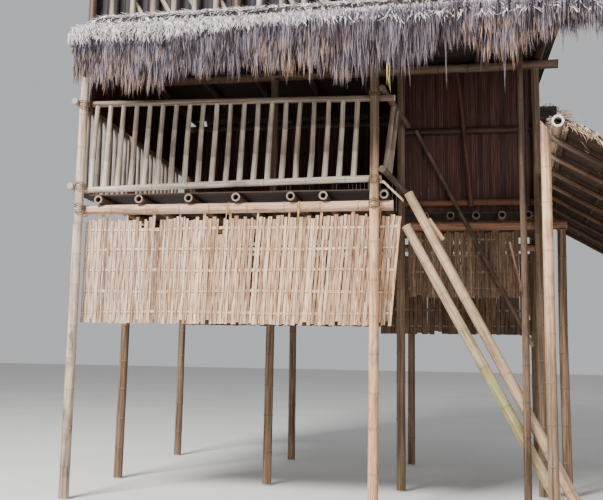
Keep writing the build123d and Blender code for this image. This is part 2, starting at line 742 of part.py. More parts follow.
# Recessed front wall of the room: a mat behind a sill and a rail, with two studs in front of them
frame_y = middle_y + post_radius(SILL_Z) + SILL / 2 + SEAT
recess_mat_y = frame_y + SILL / 2 + SEAT
stud_y = frame_y - SILL / 2 - STUD / 2 - SEAT
frame_left = corner_x - FRAME_REACH
frame_right = middle_x[3] + FRAME_REACH
wall_pieces = [
    culm((frame_left, frame_y, z), (frame_right, frame_y, z), SILL) for z in (SILL_Z, WALL_RAIL_Z)
]
for foot_place, head_place in zip(STUD_FEET, STUD_HEADS):
    foot = (corner_x + foot_place, stud_y, SILL_Z - STUD_BELOW)
    head = (corner_x + head_place, stud_y, post_top_z - STUD_HEAD_IN)
    wall_pieces.append(culm(foot, head, STUD, sides=RAIL_SIDES))
save("recessed_wall_frame", *wall_pieces)
room_mat_low = deck_top + SEAT
room_mat_high = loft_joist_z - LOFT_JOIST / 2 - SEAT
recess_right = middle_x[3] - SEAT
save("recessed_wall", wall_x(frame_left, recess_right, recess_mat_y, room_mat_low, room_mat_high))

# Back wall inside the back posts, the right wall along the line of the right posts, and the mat that
# closes the left side above the handrail
back_mat_front = back_y - post_radius(deck_top) - WALL - 2 * SEAT
back_wall_right = back_right - POST_FOOT
save("back_wall", wall_x(0, back_wall_right, back_mat_front, room_mat_low, post_top_z))
right_line = beside((middle_x[3], middle_y), (back_right, back_y), post_radius(deck_top) + SEAT)
right_run = Vector(*right_line[1]) - Vector(*right_line[0])
right_angle = math.degrees(math.atan2(right_run.Y, right_run.X))
right_start = recess_mat_y + 2 * WALL - middle_y
right_end = back_mat_front - 2 * SEAT - WALL / 4 - middle_y
right_mat = slab(right_start, 0, right_end, WALL, room_mat_low, room_mat_high - room_mat_low)
right_place = Pos(right_line[0][0], right_line[0][1], 0) * Rot(0, 0, right_angle)
left_mat_x = post_radius(TOP_RAIL_LEFT_Z) + SEAT
left_mat_low = TOP_RAIL_LEFT_Z + RAIL / 2 + SEAT
left_mat_high = post_top_z - left_mat_low
left_mat = slab(left_mat_x, 0, left_mat_x + WALL, back_mat_front - SEAT, left_mat_low, left_mat_high)
save("side_walls", right_place * right_mat, left_mat)


def screen(heads, feet, y, height, slat, rows):
    """A hanging screen: upright split slats with ragged ends, tied to strips that run behind them."""
    top = BEAM_Z - BEAM / 2 - SCREEN_DROP
    count = int((heads[1] - heads[0]) / (slat + SLAT_GAP))
    half = (heads[1] - heads[0]) / count / 2 - SLAT_GAP / 2
    front = Plane(origin=(0, y, 0), x_dir=(1, 0, 0), z_dir=(0, -1, 0))
    pieces = []
    for i in range(count):
        share = (i + 0.5) / count
        x_head = heads[0] + (heads[1] - heads[0]) * share
        x_foot = feet[0] + (feet[1] - feet[0]) * share
        head_z = top + RAGGED * math.sin(i * HEAD_WAVE)
        foot_z = top - height + RAGGED * math.sin(i * FOOT_WAVE)
        if i % HANGER_STEP == HANGER_STEP // 2:
            head_z = BEAM_Z - BEAM / 2 - SEAT
        outline = [
            (x_foot - half, foot_z),
            (x_foot + half, foot_z),
            (x_head + half, head_z),
            (x_head - half, head_z),
        ]
        face = make_face(Polyline(*outline, close=True))
        pieces.append(front * extrude(face, SLAT_THICKNESS))
    for i in range(rows):
        share = (i + 0.5) / rows
        left = heads[0] + (feet[0] - heads[0]) * share + half
        right = heads[1] + (feet[1] - heads[1]) * share - half
        z_low = top - height * share - STRIP / 2
        pieces.append(slab(left, y + SEAT, right, y + SEAT + STRIP_THICKNESS, z_low, STRIP))
    return pieces


# Screens of split bamboo that hang under the floor beams
front_heads = (FRONT_SCREEN_LEFT, FRONT_BAY + FRONT_SCREEN_RIGHT)
front_feet = (front_heads[0] - FRONT_SCREEN_SLIP, front_heads[1] - FRONT_SCREEN_NARROW)
front_slats = screen(front_heads, front_feet, front_beam_y, SCREEN_HEIGHT, SLAT, STRIP_ROWS)
save("front_screen", *front_slats)
short_ends = (corner_x + SHORT_SCREEN_LEFT, middle_x[3] - SHORT_SCREEN_RIGHT)
short_slats = screen(
    short_ends, short_ends, middle_beam_y, SHORT_SCREEN_HEIGHT, SLAT, SHORT_STRIP_ROWS
)
save("middle_screen", *short_slats)
back_ends = (BACK_SCREEN_MARGIN, back_right - BACK_SCREEN_MARGIN)
back_slats = screen(back_ends, back_ends, back_beam_y, SCREEN_HEIGHT, BACK_SLAT, STRIP_ROWS)
save("back_screen", *back_slats)

# Two long poles that prop the corner of the balcony, tangent to the front right post
props = []
for shift, head_z, slope in zip(PROP_HEAD_X, PROP_HEAD_Z, PROP_SLOPE):
    head_x = front_x[1] + shift
    foot_z = BRACE_FOOT / 2 * math.sin(math.atan(slope))
    cross_z = head_z - (front_x[2] - head_x) / slope
    cross = BRACE_FOOT + (BRACE_TIP - BRACE_FOOT) * (cross_z - foot_z) / (head_z - foot_z)
    slim = SLIM_POST_FOOT + (SLIM_POST_TOP - SLIM_POST_FOOT) * cross_z / post_top_z
    prop_y = slim / 2 + cross / 2 + SEAT
    foot = (head_x + (head_z - foot_z) * slope, prop_y, foot_z)
    head = (head_x, prop_y, head_z)
    props.append(culm(foot, head, BRACE_FOOT, BRACE_TIP, hollow_end=True))
save("diagonal_props", *props)

# Thin brace across the recessed wall, in front of the middle floor beam
thin_y = frame_y - SILL / 2 - THIN_BRACE / 2 - SEAT
thin_head = (corner_x + THIN_HEAD_IN, thin_y, WALL_RAIL_Z)
thin_foot = (middle_x[3] - THIN_FOOT_IN, thin_y, THIN_FOOT_Z)
save("thin_brace", culm(thin_foot, thin_head, THIN_BRACE, sides=SLIM_SIDES))
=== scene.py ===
import math

import bpy
import numpy as np
from mathutils import Matrix, Vector
from mathutils.bvhtree import BVHTree


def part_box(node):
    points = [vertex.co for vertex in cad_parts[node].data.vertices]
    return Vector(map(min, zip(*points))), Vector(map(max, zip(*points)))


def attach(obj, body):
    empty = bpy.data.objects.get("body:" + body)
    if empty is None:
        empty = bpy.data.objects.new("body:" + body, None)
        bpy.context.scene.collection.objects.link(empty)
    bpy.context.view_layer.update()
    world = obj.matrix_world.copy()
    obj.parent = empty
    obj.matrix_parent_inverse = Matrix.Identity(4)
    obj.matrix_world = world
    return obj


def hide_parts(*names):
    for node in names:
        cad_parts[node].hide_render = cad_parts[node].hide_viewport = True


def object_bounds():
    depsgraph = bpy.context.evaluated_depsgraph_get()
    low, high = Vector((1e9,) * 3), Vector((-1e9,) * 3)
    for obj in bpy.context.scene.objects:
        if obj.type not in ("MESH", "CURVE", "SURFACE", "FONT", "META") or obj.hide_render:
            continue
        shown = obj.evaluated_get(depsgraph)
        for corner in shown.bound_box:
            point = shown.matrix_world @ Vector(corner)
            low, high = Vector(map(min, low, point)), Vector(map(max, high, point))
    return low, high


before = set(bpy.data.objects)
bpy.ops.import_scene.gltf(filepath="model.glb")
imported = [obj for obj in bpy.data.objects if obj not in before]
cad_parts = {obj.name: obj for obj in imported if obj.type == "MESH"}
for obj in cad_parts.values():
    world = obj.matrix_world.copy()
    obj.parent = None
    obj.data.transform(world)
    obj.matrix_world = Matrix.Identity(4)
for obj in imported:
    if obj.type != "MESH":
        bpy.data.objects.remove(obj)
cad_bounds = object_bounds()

# Bamboo stilt house, in metres: X runs right along the front, Y back and Z up.

chance = np.random.default_rng(11)

# Camera at the photograph's viewing angle
CAMERA_PLACE = (3.995, -8.107, 1.6)
CAMERA_YAW = math.radians(10.18)
CAMERA_PITCH = math.radians(7.34)
CAMERA_ROLL = math.radians(0.92)
CAMERA_LENS = 47.01


def set_camera():
    """An eye at standing height, turned left, tipped up and rolled a little."""
    level = Vector((math.cos(CAMERA_YAW), math.sin(CAMERA_YAW), 0))
    forward = Vector((-level.y, level.x, 0)) * math.cos(CAMERA_PITCH)
    forward.z = math.sin(CAMERA_PITCH)
    above = level.cross(forward)
    across = level * math.cos(CAMERA_ROLL) + above * math.sin(CAMERA_ROLL)
    upward = above * math.cos(CAMERA_ROLL) - level * math.sin(CAMERA_ROLL)
    bpy.ops.object.camera_add()
    camera = bpy.context.object
    camera.name = "photo_camera"
    turn = Matrix((across, upward, -forward)).transposed().to_4x4()
    camera.matrix_world = Matrix.Translation(CAMERA_PLACE) @ turn
    camera.data.lens = CAMERA_LENS
    camera.data.sensor_width = 36
    camera.data.clip_end = 200
    bpy.context.scene.camera = camera


set_camera()


# Adding, selecting and joining

def add(primitive, **shape):
    """A new primitive, alone selected, with its place in its mesh."""
    bpy.ops.object.select_all(action="DESELECT")
    primitive(**shape)
    bpy.ops.object.transform_apply(location=True, rotation=True, scale=True)
    return bpy.context.object


def pick(piece):
    """Only this piece is selected, and it is the active one."""
    bpy.ops.object.select_all(action="DESELECT")
    piece.select_set(True)
    bpy.context.view_layer.objects.active = piece


def edit(piece):
    """Into edit mode with everything selected."""
    pick(piece)
    bpy.ops.object.mode_set(mode="EDIT")
    bpy.ops.mesh.select_all(action="SELECT")


def leave_edit():
    bpy.ops.object.mode_set(mode="OBJECT")


def choose(piece, kind, test):
    """Into edit mode with only the vertices or edges that pass the test selected."""
    edit(piece)
    bpy.ops.mesh.select_mode(type=kind)
    bpy.ops.mesh.select_all(action="DESELECT")
    leave_edit()
    for part in piece.data.vertices if kind == "VERT" else piece.data.edges:
        part.select = test(part)
    bpy.ops.object.mode_set(mode="EDIT")


def apply(piece, name, kind, **settings):
    """A modifier is set up and applied."""
    modifier = piece.modifiers.new(name, kind)
    for key, value in settings.items():
        setattr(modifier, key, value)
    pick(piece)
    bpy.ops.object.modifier_apply(modifier=name)


def join(name, pieces):
    """Several pieces become one, with its place in its mesh."""
    bpy.ops.object.select_all(action="DESELECT")
    for piece in pieces:
        piece.select_set(True)
    bpy.context.view_layer.objects.active = pieces[0]
    if len(pieces) > 1:
        bpy.ops.object.join()
    joined = bpy.context.object
    joined.name = name
    joined.data.name = name
    return joined


def double(piece, name="copy"):
    """A copy with its own mesh."""
    other = bpy.data.objects.new(name, piece.data.copy())
    bpy.context.scene.collection.objects.link(other)
    return other


def points(mesh):
    co = np.empty(len(mesh.vertices) * 3, np.float32)
    mesh.vertices.foreach_get("co", co)
    return co.reshape(-1, 3).astype(float)


def move_points(mesh, co):
    mesh.vertices.foreach_set("co", np.asarray(co, np.float32).ravel())
    mesh.update()


def mark(mesh, name, values):
    """A value for each point, which the material reads."""
    kind, key = ("FLOAT_VECTOR", "vector") if np.ndim(values) == 2 else ("FLOAT", "value")
    layer = mesh.attributes.get(name) or mesh.attributes.new(name, kind, "POINT")
    layer.data.foreach_set(key, np.asarray(values, np.float32).ravel())


def mark_all(mesh, **values):
    """One value for all the points, under each name."""
    for name, value in values.items():
        mark(mesh, name, np.full(len(mesh.vertices), value))


def marks(mesh, name):
    values = np.empty(len(mesh.vertices), np.float32)
    mesh.attributes[name].data.foreach_get("value", values)
    return values.astype(float)


def stow(piece):
    """A shape that was only modelled to be copied goes away."""
    bpy.data.objects.remove(piece)


# Straw is trimmed this far inside the house's outer size
TRIM = 0.004


def hand_in(piece, slot, material, *nodes, smooth=None):
    """The piece gets its material, rides on the house and stands for its nodes."""
    piece.data.materials.clear()
    piece.data.materials.append(material)
    if slot == "thatch":
        low, high = (np.array(corner) for corner in cad_bounds)
        move_points(piece.data, np.clip(points(piece.data), low + TRIM, high - TRIM))
    if smooth is not None:
        pick(piece)
        bpy.ops.object.shade_smooth_by_angle(angle=math.radians(smooth))
    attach(piece, "root")
    if nodes:
        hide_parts(*nodes)


# Materials

BLACK, WHITE = (0, 0, 0), (1, 1, 1)


def sheet_of_nodes(name, roughness):
    material = bpy.data.materials.new(name)
    material.use_nodes = True
    tree = material.node_tree
    shader = tree.nodes["Principled BSDF"]
    shader.inputs["Roughness"].default_value = roughness
    shader.inputs["Specular IOR Level"].default_value = 0.25
    return material, tree, shader


def node(tree, kind, **settings):
    made = tree.nodes.new(kind)
    for key, value in settings.items():
        if key in made.inputs:
            made.inputs[key].default_value = value
        else:
            setattr(made, key, value)
    return made


def feed(tree, value, socket):
    """A socket takes another node's output, a colour or a number."""
    if isinstance(value, bpy.types.NodeSocket):
        tree.links.new(value, socket)
    else:
        socket.default_value = (*value, 1) if isinstance(value, tuple) else value


def noise(tree, vector, scale, detail=4, roughness=0.6):
    """Cloudy noise. Three scales stretch it, and one makes it even all ways."""
    stretched = isinstance(scale, tuple)
    if stretched:
        mapping = node(tree, "ShaderNodeMapping", Scale=scale)
        tree.links.new(vector, mapping.inputs["Vector"])
        vector = mapping.outputs["Vector"]
    made = node(tree, "ShaderNodeTexNoise", Scale=1 if stretched else scale, Detail=detail,
                Roughness=roughness)
    tree.links.new(vector, made.inputs["Vector"])
    return made.outputs["Fac"]


def ramp(tree, value, stops):
    made = tree.nodes.new("ShaderNodeValToRGB")
    tree.links.new(value, made.inputs["Fac"])
    elements = made.color_ramp.elements
    while len(elements) < len(stops):
        elements.new(0.5)
    for element, (place, colour) in zip(elements, stops):
        element.position = place
        element.color = (*colour, 1)
    return made.outputs["Color"]


def mask(tree, value, low, high):
    return ramp(tree, value, [(low, BLACK), (high, WHITE)])


def mix(tree, share, first, second, blend="MIX"):
    made = tree.nodes.new("ShaderNodeMix")
    made.data_type = "RGBA"
    made.blend_type = blend
    for name, value in (("Factor", share), ("A", first), ("B", second)):
        feed(tree, value, next(s for s in made.inputs if s.name == name and s.enabled))
    return next(s for s in made.outputs if s.enabled)


def darken(tree, colour, value, stops):
    """The colour is multiplied by what the stops give for the value."""
    return mix(tree, 1.0, colour, ramp(tree, value, stops), "MULTIPLY")


def maths(tree, operation, first, second):
    made = tree.nodes.new("ShaderNodeMath")
    made.operation = operation
    feed(tree, first, made.inputs[0])
    feed(tree, second, made.inputs[1])
    return made.outputs["Value"]


def times(tree, first, second):
    return maths(tree, "MULTIPLY", first, second)


def plus(tree, first, second):
    return maths(tree, "ADD", first, second)


def reading(tree, name, output="Fac"):
    return node(tree, "ShaderNodeAttribute", attribute_name=name).outputs[output]


def place_on_house(tree):
    return node(tree, "ShaderNodeTexCoord").outputs["Object"]


def coat(tree, shader, colour, height, strength, distance):
    """The colour and the relief go to the shader."""
    tree.links.new(colour, shader.inputs["Base Color"])
    made = node(tree, "ShaderNodeBump", Strength=strength, Distance=distance)
    tree.links.new(height, made.inputs["Height"])
    tree.links.new(made.outputs["Normal"], shader.inputs["Normal"])


WARM = (1.02, 0.78, 0.60)
GREEN = (0.33, 0.36, 0.12)
# Near-black painted shade for the inside of a culm's open end
HOLLOW_SHADE = (0.012, 0.009, 0.008)


def bamboo(name, pale, deep, stain, knot, cut=(0.62, 0.55, 0.45)):
    """Round bamboo: fibres run along the culm, smudges lie over them, each knot is dark, and the inside of
    an open end is painted near-black as the shade in the hollow.
    """
    material, tree, shader = sheet_of_nodes(name, 0.55)
    grain = reading(tree, "grain", "Vector")
    fibres = noise(tree, grain, (210, 210, 5), 3)
    smudges = noise(tree, grain, (9, 9, 3.2), 6, 0.7)
    streaks = noise(tree, grain, (40, 40, 1.3), 4)
    patches = noise(tree, grain, (4, 4, 1.1), 3)
    shade = plus(tree, times(tree, reading(tree, "tone"), 0.6), times(tree, streaks, 0.5))
    colour = ramp(tree, shade, [(0.24, deep), (0.78, pale)])
    colour = mix(tree, reading(tree, "warm"), colour, mix(tree, 1.0, colour, WARM, "MULTIPLY"))
    fresh = times(tree, mask(tree, patches, 0.44, 0.60), reading(tree, "green"))
    colour = mix(tree, fresh, colour, GREEN)
    colour = mix(tree, times(tree, mask(tree, smudges, 0.48, 0.70), 0.8), colour, stain)
    colour = darken(tree, colour, fibres, [(0.28, (0.62, 0.59, 0.56)), (0.62, WHITE)])
    colour = darken(tree, colour, streaks, [(0.34, (0.62, 0.52, 0.44)), (0.55, WHITE)])
    colour = mix(tree, times(tree, reading(tree, "knot"), 0.55), colour, knot)
    colour = mix(tree, reading(tree, "cut"), colour, cut)
    # The inside of an open end is painted near-black as shade
    colour = mix(tree, reading(tree, "hollow"), colour, HOLLOW_SHADE)
    coat(tree, shader, colour, plus(tree, times(tree, fibres, 0.5), smudges), 0.4, 0.003)
    return material


def split(name, pale, deep, stain, cool=None):
    """Split bamboo: each strip has its own tone and fibres along it; its edges are painted darker as the
    shade between strips, and parts with a shade mark are painted dark as shade.
    """
    material, tree, shader = sheet_of_nodes(name, 0.7)
    grain = reading(tree, "grain", "Vector")
    fibres = noise(tree, grain, (260, 260, 5), 3)
    smudges = noise(tree, grain, (14, 14, 3), 6, 0.7)
    streaks = noise(tree, grain, (85, 85, 2.2), 3)
    uneven = times(tree, plus(tree, smudges, streaks), 0.26)
    shade = plus(tree, times(tree, reading(tree, "tone"), 0.62), uneven)
    colour = ramp(tree, shade, [(0.16, stain), (0.42, deep), (0.92, pale)])
    if cool:
        colour = mix(tree, reading(tree, "cool"), colour, mix(tree, 1.0, colour, cool, "MULTIPLY"))
    colour = darken(tree, colour, fibres, [(0.3, (0.62, 0.56, 0.52)), (0.6, WHITE)])
    colour = darken(tree, colour, streaks, [(0.36, (0.46, 0.37, 0.30)), (0.56, WHITE)])
    # Each strip's edges are painted darker, as the shade in the gaps between strips
    edge_shade = maths(tree, "ABSOLUTE", reading(tree, "across"), 0.0)
    colour = darken(tree, colour, edge_shade, [(0.66, WHITE), (0.98, (0.34, 0.27, 0.22))])
    # Where the shade mark is set, the strip is painted the stain colour as shade
    colour = mix(tree, reading(tree, "shade"), colour, stain)
    coat(tree, shader, colour, plus(tree, fibres, smudges), 0.5, 0.003)
    return material


def straw(name, root, middle, tip, warm_tip, worn):
    """Grass straw: it changes from root to tip, some of it warm, with worn and dark stems among it."""
    material, tree, shader = sheet_of_nodes(name, 0.85)
    along = reading(tree, "along")
    where = place_on_house(tree)
    patches = noise(tree, where, 2.6, 5, 0.65)
    cold = ramp(tree, along, [(0.0, root), (0.45, middle), (1.0, tip)])
    warm = ramp(tree, along, [(0.0, root), (0.4, middle), (0.85, warm_tip)])
    colour = mix(tree, mask(tree, reading(tree, "warm"), 0.35, 0.8), cold, warm)
    pale = plus(tree, times(tree, reading(tree, "tone"), 0.55), times(tree, patches, 0.6))
    colour = mix(tree, times(tree, mask(tree, pale, 0.5, 0.85), 0.8), colour, worn)
    colour = darken(tree, colour, reading(tree, "tone"), [(0.0, (0.30, 0.28, 0.28)), (0.4, WHITE)])
    coat(tree, shader, colour, noise(tree, where, 90, 3), 0.4, 0.004)
    return material


def matting(name, pale, deep):
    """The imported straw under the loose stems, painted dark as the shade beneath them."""
    material, tree, shader = sheet_of_nodes(name, 0.95)
    where = place_on_house(tree)
    stems = noise(tree, where, (60, 14, 14), 5, 0.7)
    patches = noise(tree, where, 2.3, 5, 0.65)
    shade = plus(tree, times(tree, stems, 0.6), times(tree, patches, 0.4))
    coat(tree, shader, ramp(tree, shade, [(0.34, deep), (0.66, pale)]), stems, 0.9, 0.02)
    return material


post_bamboo = bamboo("post_bamboo", (0.82, 0.53, 0.34), (0.15, 0.11, 0.07), (0.17, 0.11, 0.07),
                     (0.16, 0.10, 0.065))
beam_bamboo = bamboo("beam_bamboo", (0.72, 0.48, 0.34), (0.26, 0.15, 0.095), (0.17, 0.095, 0.065),
                     (0.22, 0.13, 0.09), (0.66, 0.46, 0.32))
rail_bamboo = bamboo("rail_bamboo", (0.62, 0.55, 0.46), (0.16, 0.125, 0.10), (0.13, 0.10, 0.075),
                     (0.15, 0.115, 0.085))
prop_bamboo = bamboo("prop_bamboo", (0.66, 0.48, 0.33), (0.38, 0.27, 0.18), (0.22, 0.14, 0.09),
                     (0.15, 0.10, 0.06))
roof_bamboo = bamboo("roof_bamboo", (0.20, 0.135, 0.09), (0.075, 0.047, 0.033), (0.04, 0.027, 0.02),
                     (0.035, 0.024, 0.018), (0.36, 0.30, 0.23))
frame_bamboo = bamboo("frame_bamboo", (0.17, 0.075, 0.045), (0.045, 0.026, 0.018),
                      (0.03, 0.018, 0.013), (0.03, 0.02, 0.014), (0.10, 0.06, 0.04))
screen_split = split("screen_slats", (1.0, 0.73, 0.49), (0.62, 0.39, 0.24), (0.20, 0.11, 0.065),
                     (0.80, 0.86, 0.98))
short_split = split("short_screen_slats", (0.33, 0.22, 0.14), (0.17, 0.11, 0.07), (0.06, 0.038, 0.026))
floor_split = split("split_floor", (0.34, 0.24, 0.17), (0.19, 0.13, 0.09), (0.045, 0.03, 0.024))
wall_split = split("wall_mat", (0.14, 0.058, 0.043), (0.082, 0.040, 0.033), (0.036, 0.022, 0.021))
# The loft's mats are painted near-black, as the shade under the top roof
loft_shade_split = split("loft_mat", (0.040, 0.034, 0.036), (0.022, 0.019, 0.021), (0.010, 0.009, 0.010))
tie_split = split("tie_split", (0.80, 0.62, 0.26), (0.55, 0.38, 0.14), (0.2, 0.12, 0.05))
peel_split = split("peel_split", (0.95, 0.86, 0.68), (0.75, 0.62, 0.44), (0.3, 0.22, 0.14))
cord_split = split("cord_split", (0.26, 0.17, 0.10), (0.13, 0.085, 0.05), (0.05, 0.03, 0.02))
fringe_straw = straw("fringe_straw", (0.17, 0.148, 0.18), (0.068, 0.052, 0.062), (0.20, 0.15, 0.15),
                     (0.66, 0.42, 0.27), (0.34, 0.29, 0.34))
top_straw = straw("top_straw", (0.52, 0.44, 0.45), (0.76, 0.67, 0.68), (0.90, 0.82, 0.84),
                  (0.88, 0.76, 0.73), (0.95, 0.90, 0.92))
# The verge straw is painted paler than the lean-to's straw, as sunlight on it
verge_straw = straw("verge_straw", (0.34, 0.21, 0.12), (0.46, 0.31, 0.18), (0.62, 0.46, 0.30),
                    (0.70, 0.53, 0.35), (0.76, 0.62, 0.46))
yellow_straw = straw("yellow_straw", (0.5, 0.42, 0.12), (0.62, 0.52, 0.14), (0.72, 0.62, 0.2),
                     (0.72, 0.6, 0.18), (0.8, 0.7, 0.3))
lean_straw = straw("lean_straw", (0.26, 0.18, 0.12), (0.34, 0.24, 0.16), (0.42, 0.32, 0.22),
                   (0.46, 0.34, 0.22), (0.42, 0.34, 0.27))
# The straw under the loose stems is painted dark, as the shade beneath them
under_thatch_shade = matting("under_thatch_shade", (0.10, 0.08, 0.08), (0.022, 0.017, 0.018))
lean_matting = matting("lean_matting", (0.085, 0.05, 0.03), (0.025, 0.015, 0.010))


# Bamboo culms

# The outline of one length, from knot to knot: height and radius of each loop after the first
KNOT = [(0.04, 0.985), (0.93, 0.975), (0.965, 1.0), (0.985, 1.055), (1.0, 1.0)]
PLAIN_KNOT = [(0.93, 0.98), (0.98, 1.05), (1.0, 1.0)]
# At an open end, the wall as a share of the radius and the hollow's depth as a share of a length
WALL = 0.34
END_HOLLOW = 0.3
# Points of a stock culm closer than this lie in the same place
NEAR = 0.001
culm_stock = {}


def culm_joint(sides, loops):
    """One length of bamboo, radius 1 and height 1, with its raised knot at the top."""
    joint = add(bpy.ops.mesh.primitive_circle_add, vertices=sides, radius=1, location=(0, 0, 0))
    edit(joint)
    low, wide = 0.0, 1.0
    for height, radius in loops:
        bpy.ops.mesh.extrude_region_move(TRANSFORM_OT_translate={"value": (0, 0, height - low)})
        bpy.ops.transform.resize(value=(radius / wide, radius / wide, 1), center_override=(0, 0, height))
        low, wide = height, radius
    leave_edit()
    return joint


def stock(count, sides, open_ends, plain):
    """A straight culm of so many lengths, modelled once for each kind and then copied."""
    key = (count, sides, open_ends, plain)
    if key in culm_stock:
        return culm_stock[key]
    culm = culm_joint(sides, PLAIN_KNOT if plain else KNOT)
    apply(culm, "lengths", "ARRAY", count=count, use_relative_offset=False, use_constant_offset=True,
          constant_offset_displace=(0, 0, 1), use_merge_vertices=True, merge_threshold=NEAR)
    for end, inward in ((0, 1), (count, -1)):
        choose(culm, "VERT", lambda vertex: abs(vertex.co.z - end) < NEAR)
        bpy.ops.mesh.edge_face_add()
        if open_ends:
            bpy.ops.mesh.inset(thickness=WALL)
            bpy.ops.mesh.extrude_region_move(TRANSFORM_OT_translate={"value": (0, 0, END_HOLLOW * inward)})
        leave_edit()
    edit(culm)
    bpy.ops.mesh.normals_make_consistent(inside=False)
    leave_edit()
    co = points(culm.data)
    height = co[:, 2] % 1.0
    wide = np.linalg.norm(co[:, :2], axis=1)
    at_end = (co[:, 2] < NEAR) | (co[:, 2] > count - NEAR)
    from_knot = np.minimum(height, 1.0 - height)
    mark(culm.data, "knot", np.clip(1.0 - from_knot / 0.03, 0, 1) * (wide > 0.9) * ~at_end)
    mark(culm.data, "cut", at_end * 0.9 if open_ends else at_end * 0.3)
    # The inside of each open end is marked for painted shade
    mark(culm.data, "hollow", (wide < 0.8) & ~at_end)
    culm.hide_render = True
    culm_stock[key] = culm
    return culm


def clouds_of(mesh):
    """The points of each separate solid in a mesh of loose triangles."""
    co = points(mesh)
    _, first, same = np.unique(np.round(co, 5), axis=0, return_index=True, return_inverse=True)
    mesh.calc_loop_triangles()
    triangles = same.ravel()[np.array([t.vertices for t in mesh.loop_triangles])]
    group = np.arange(len(first))
    before = None
    while before is None or (group != before).any():
        before = group.copy()
        low = group[triangles].min(axis=1)
        for column in range(3):
            np.minimum.at(group, triangles[:, column], low)
        group = group[group]
    spots = co[first]
    return [spots[group == label] for label in np.unique(group)]


def bars(name):
    """The culms in a node: for each, the two ends of its axis and its radius there."""
    found = []
    for cloud in clouds_of(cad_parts[name].data):
        centre = (cloud.min(axis=0) + cloud.max(axis=0)) / 2
        axis = np.linalg.svd(cloud - cloud.mean(axis=0))[2][0]
        if axis[np.argmax(np.abs(axis))] < 0:
            axis = -axis
        along = (cloud - centre) @ axis
        low, high = along.min(), along.max()
        reach = min(0.12, (high - low) / 4)
        ends = []
        for chosen, place in ((along < low + reach, low), (along > high - reach, high)):
            ring = cloud[chosen]
            flat = ring - np.outer((ring - centre) @ axis, axis)
            middle = (flat.min(axis=0) + flat.max(axis=0)) / 2
            ends.append((middle + axis * place, np.linalg.norm(flat - middle, axis=1).max()))
        found.append((ends[0][0], ends[1][0], ends[0][1], ends[1][1]))
    return found


def lay_culm(start, end, foot, tip, step=0.38, sides=14, open_ends=True, plain=False, bow=0.004,
             sway=(0, 0, 0), tone=(0.1, 0.95), warm=(0, 0.5), green=0.0):
    """A copy of a stock culm laid between two points, with uneven lengths and a slight bow."""
    start, end = np.array(start, float), np.array(end, float)
    length = np.linalg.norm(end - start)
    count = max(1, round(length / step))
    culm = double(stock(count, sides, open_ends, plain))
    co = points(culm.data)
    lengths = 1 + chance.uniform(-0.16, 0.16, count)
    cuts = np.concatenate([[0], np.cumsum(lengths)]) / lengths.sum() * length
    height = np.interp(co[:, 2], np.arange(count + 1), cuts)
    share = height / length
    radius = foot + (tip - foot) * share
    around = chance.uniform(0, 2 * math.pi)
    turn = np.array([[math.cos(around), -math.sin(around)], [math.sin(around), math.cos(around)]])
    flat = co[:, :2] @ turn.T * radius[:, None]
    lean = chance.normal(size=2)
    lean *= bow / max(np.linalg.norm(lean), 0.001)
    arch = np.sin(share * math.pi)
    wave = 1 + 0.35 * np.sin(share * math.pi * 2.6 + around)
    mark(culm.data, "grain", np.column_stack([flat, height + chance.uniform(0, 40)]))
    mark_all(culm.data, tone=chance.uniform(*tone), warm=chance.uniform(*warm), green=green)
    up = (end - start) / length
    side = np.cross(up, (0, 0, 1))
    if np.linalg.norm(side) < 0.01:
        side = np.array([1.0, 0, 0])
    side /= np.linalg.norm(side)
    flat += (arch * wave)[:, None] * lean
    placed = start + flat @ np.array([side, np.cross(up, side)]) + np.outer(height, up)
    move_points(culm.data, placed + np.outer(arch, sway))
    return culm


def dress(name, slot, material, **ways):
    """All the culms of one node, in place of the plain ones."""
    culms = [lay_culm(*bar, **ways) for bar in bars(name)]
    hand_in(join(name + "_culms", culms), slot, material, name, smooth=40)


def post_with_painted_light(name, material, heights, tones, warm):
    """A tall post whose bamboo is painted paler or darker from its foot to the eave, as painted light and
    shade.
    """
    post = lay_culm(*bars(name)[0], bow=0.010, warm=(warm, warm))
    mark(post.data, "tone", np.interp(points(post.data)[:, 2], heights, tones))
    hand_in(join(name + "_culms", [post]), "post_bamboo", material, name, smooth=40)


# Thin round poles of few sides, such as the railings' uprights, and the rafters
UPRIGHT = {"step": 0.3, "sides": 10, "open_ends": False, "plain": True}
RAFTER = {"step": 0.4, "sides": 8, "open_ends": False, "plain": True}

# Each front post's tone along its height is painted light and shade; the middle and right posts turn dark
# under the eave
post_with_painted_light("front_left_post", rail_bamboo, (0.3, 1.6), (0.45, 0.88), 0.4)
post_with_painted_light("front_middle_post", post_bamboo, (1.6, 2.4, 3.0, 3.9), (0.75, 0.9, 0.8, 0.0), 0.3)
post_with_painted_light("front_right_post", roof_bamboo, (0.6, 1.2, 2.0, 3.4), (0.4, 1.1, 0.55, 0.25), 0.1)
# The middle and back posts get the darkest tones, as painted shade
dress("middle_posts", "post_bamboo", post_bamboo, bow=0.010, tone=(0.0, 0.1), warm=(0.1, 0.3))
dress("back_posts", "post_bamboo", post_bamboo, bow=0.010, tone=(0.0, 0.1), warm=(0, 0.3))
dress("lean_to_low_posts", "post_bamboo", post_bamboo, bow=0.010)
dress("loft_posts", "post_bamboo", roof_bamboo, bow=0.003)
dress("front_floor_beam", "beam_bamboo", beam_bamboo, bow=0.006, tone=(0.9, 1), warm=(0, 0.1))
dress("middle_floor_beam", "beam_bamboo", beam_bamboo, bow=0.006, tone=(0, 0.05), warm=(0.6, 0.8))
dress("back_floor_beam", "beam_bamboo", beam_bamboo, bow=0.006, tone=(0.1, 0.3))
dress("roof_plates", "beam_bamboo", roof_bamboo, bow=0.003)
dress("loft_joists", "beam_bamboo", roof_bamboo, bow=0.003, sides=12, plain=True)
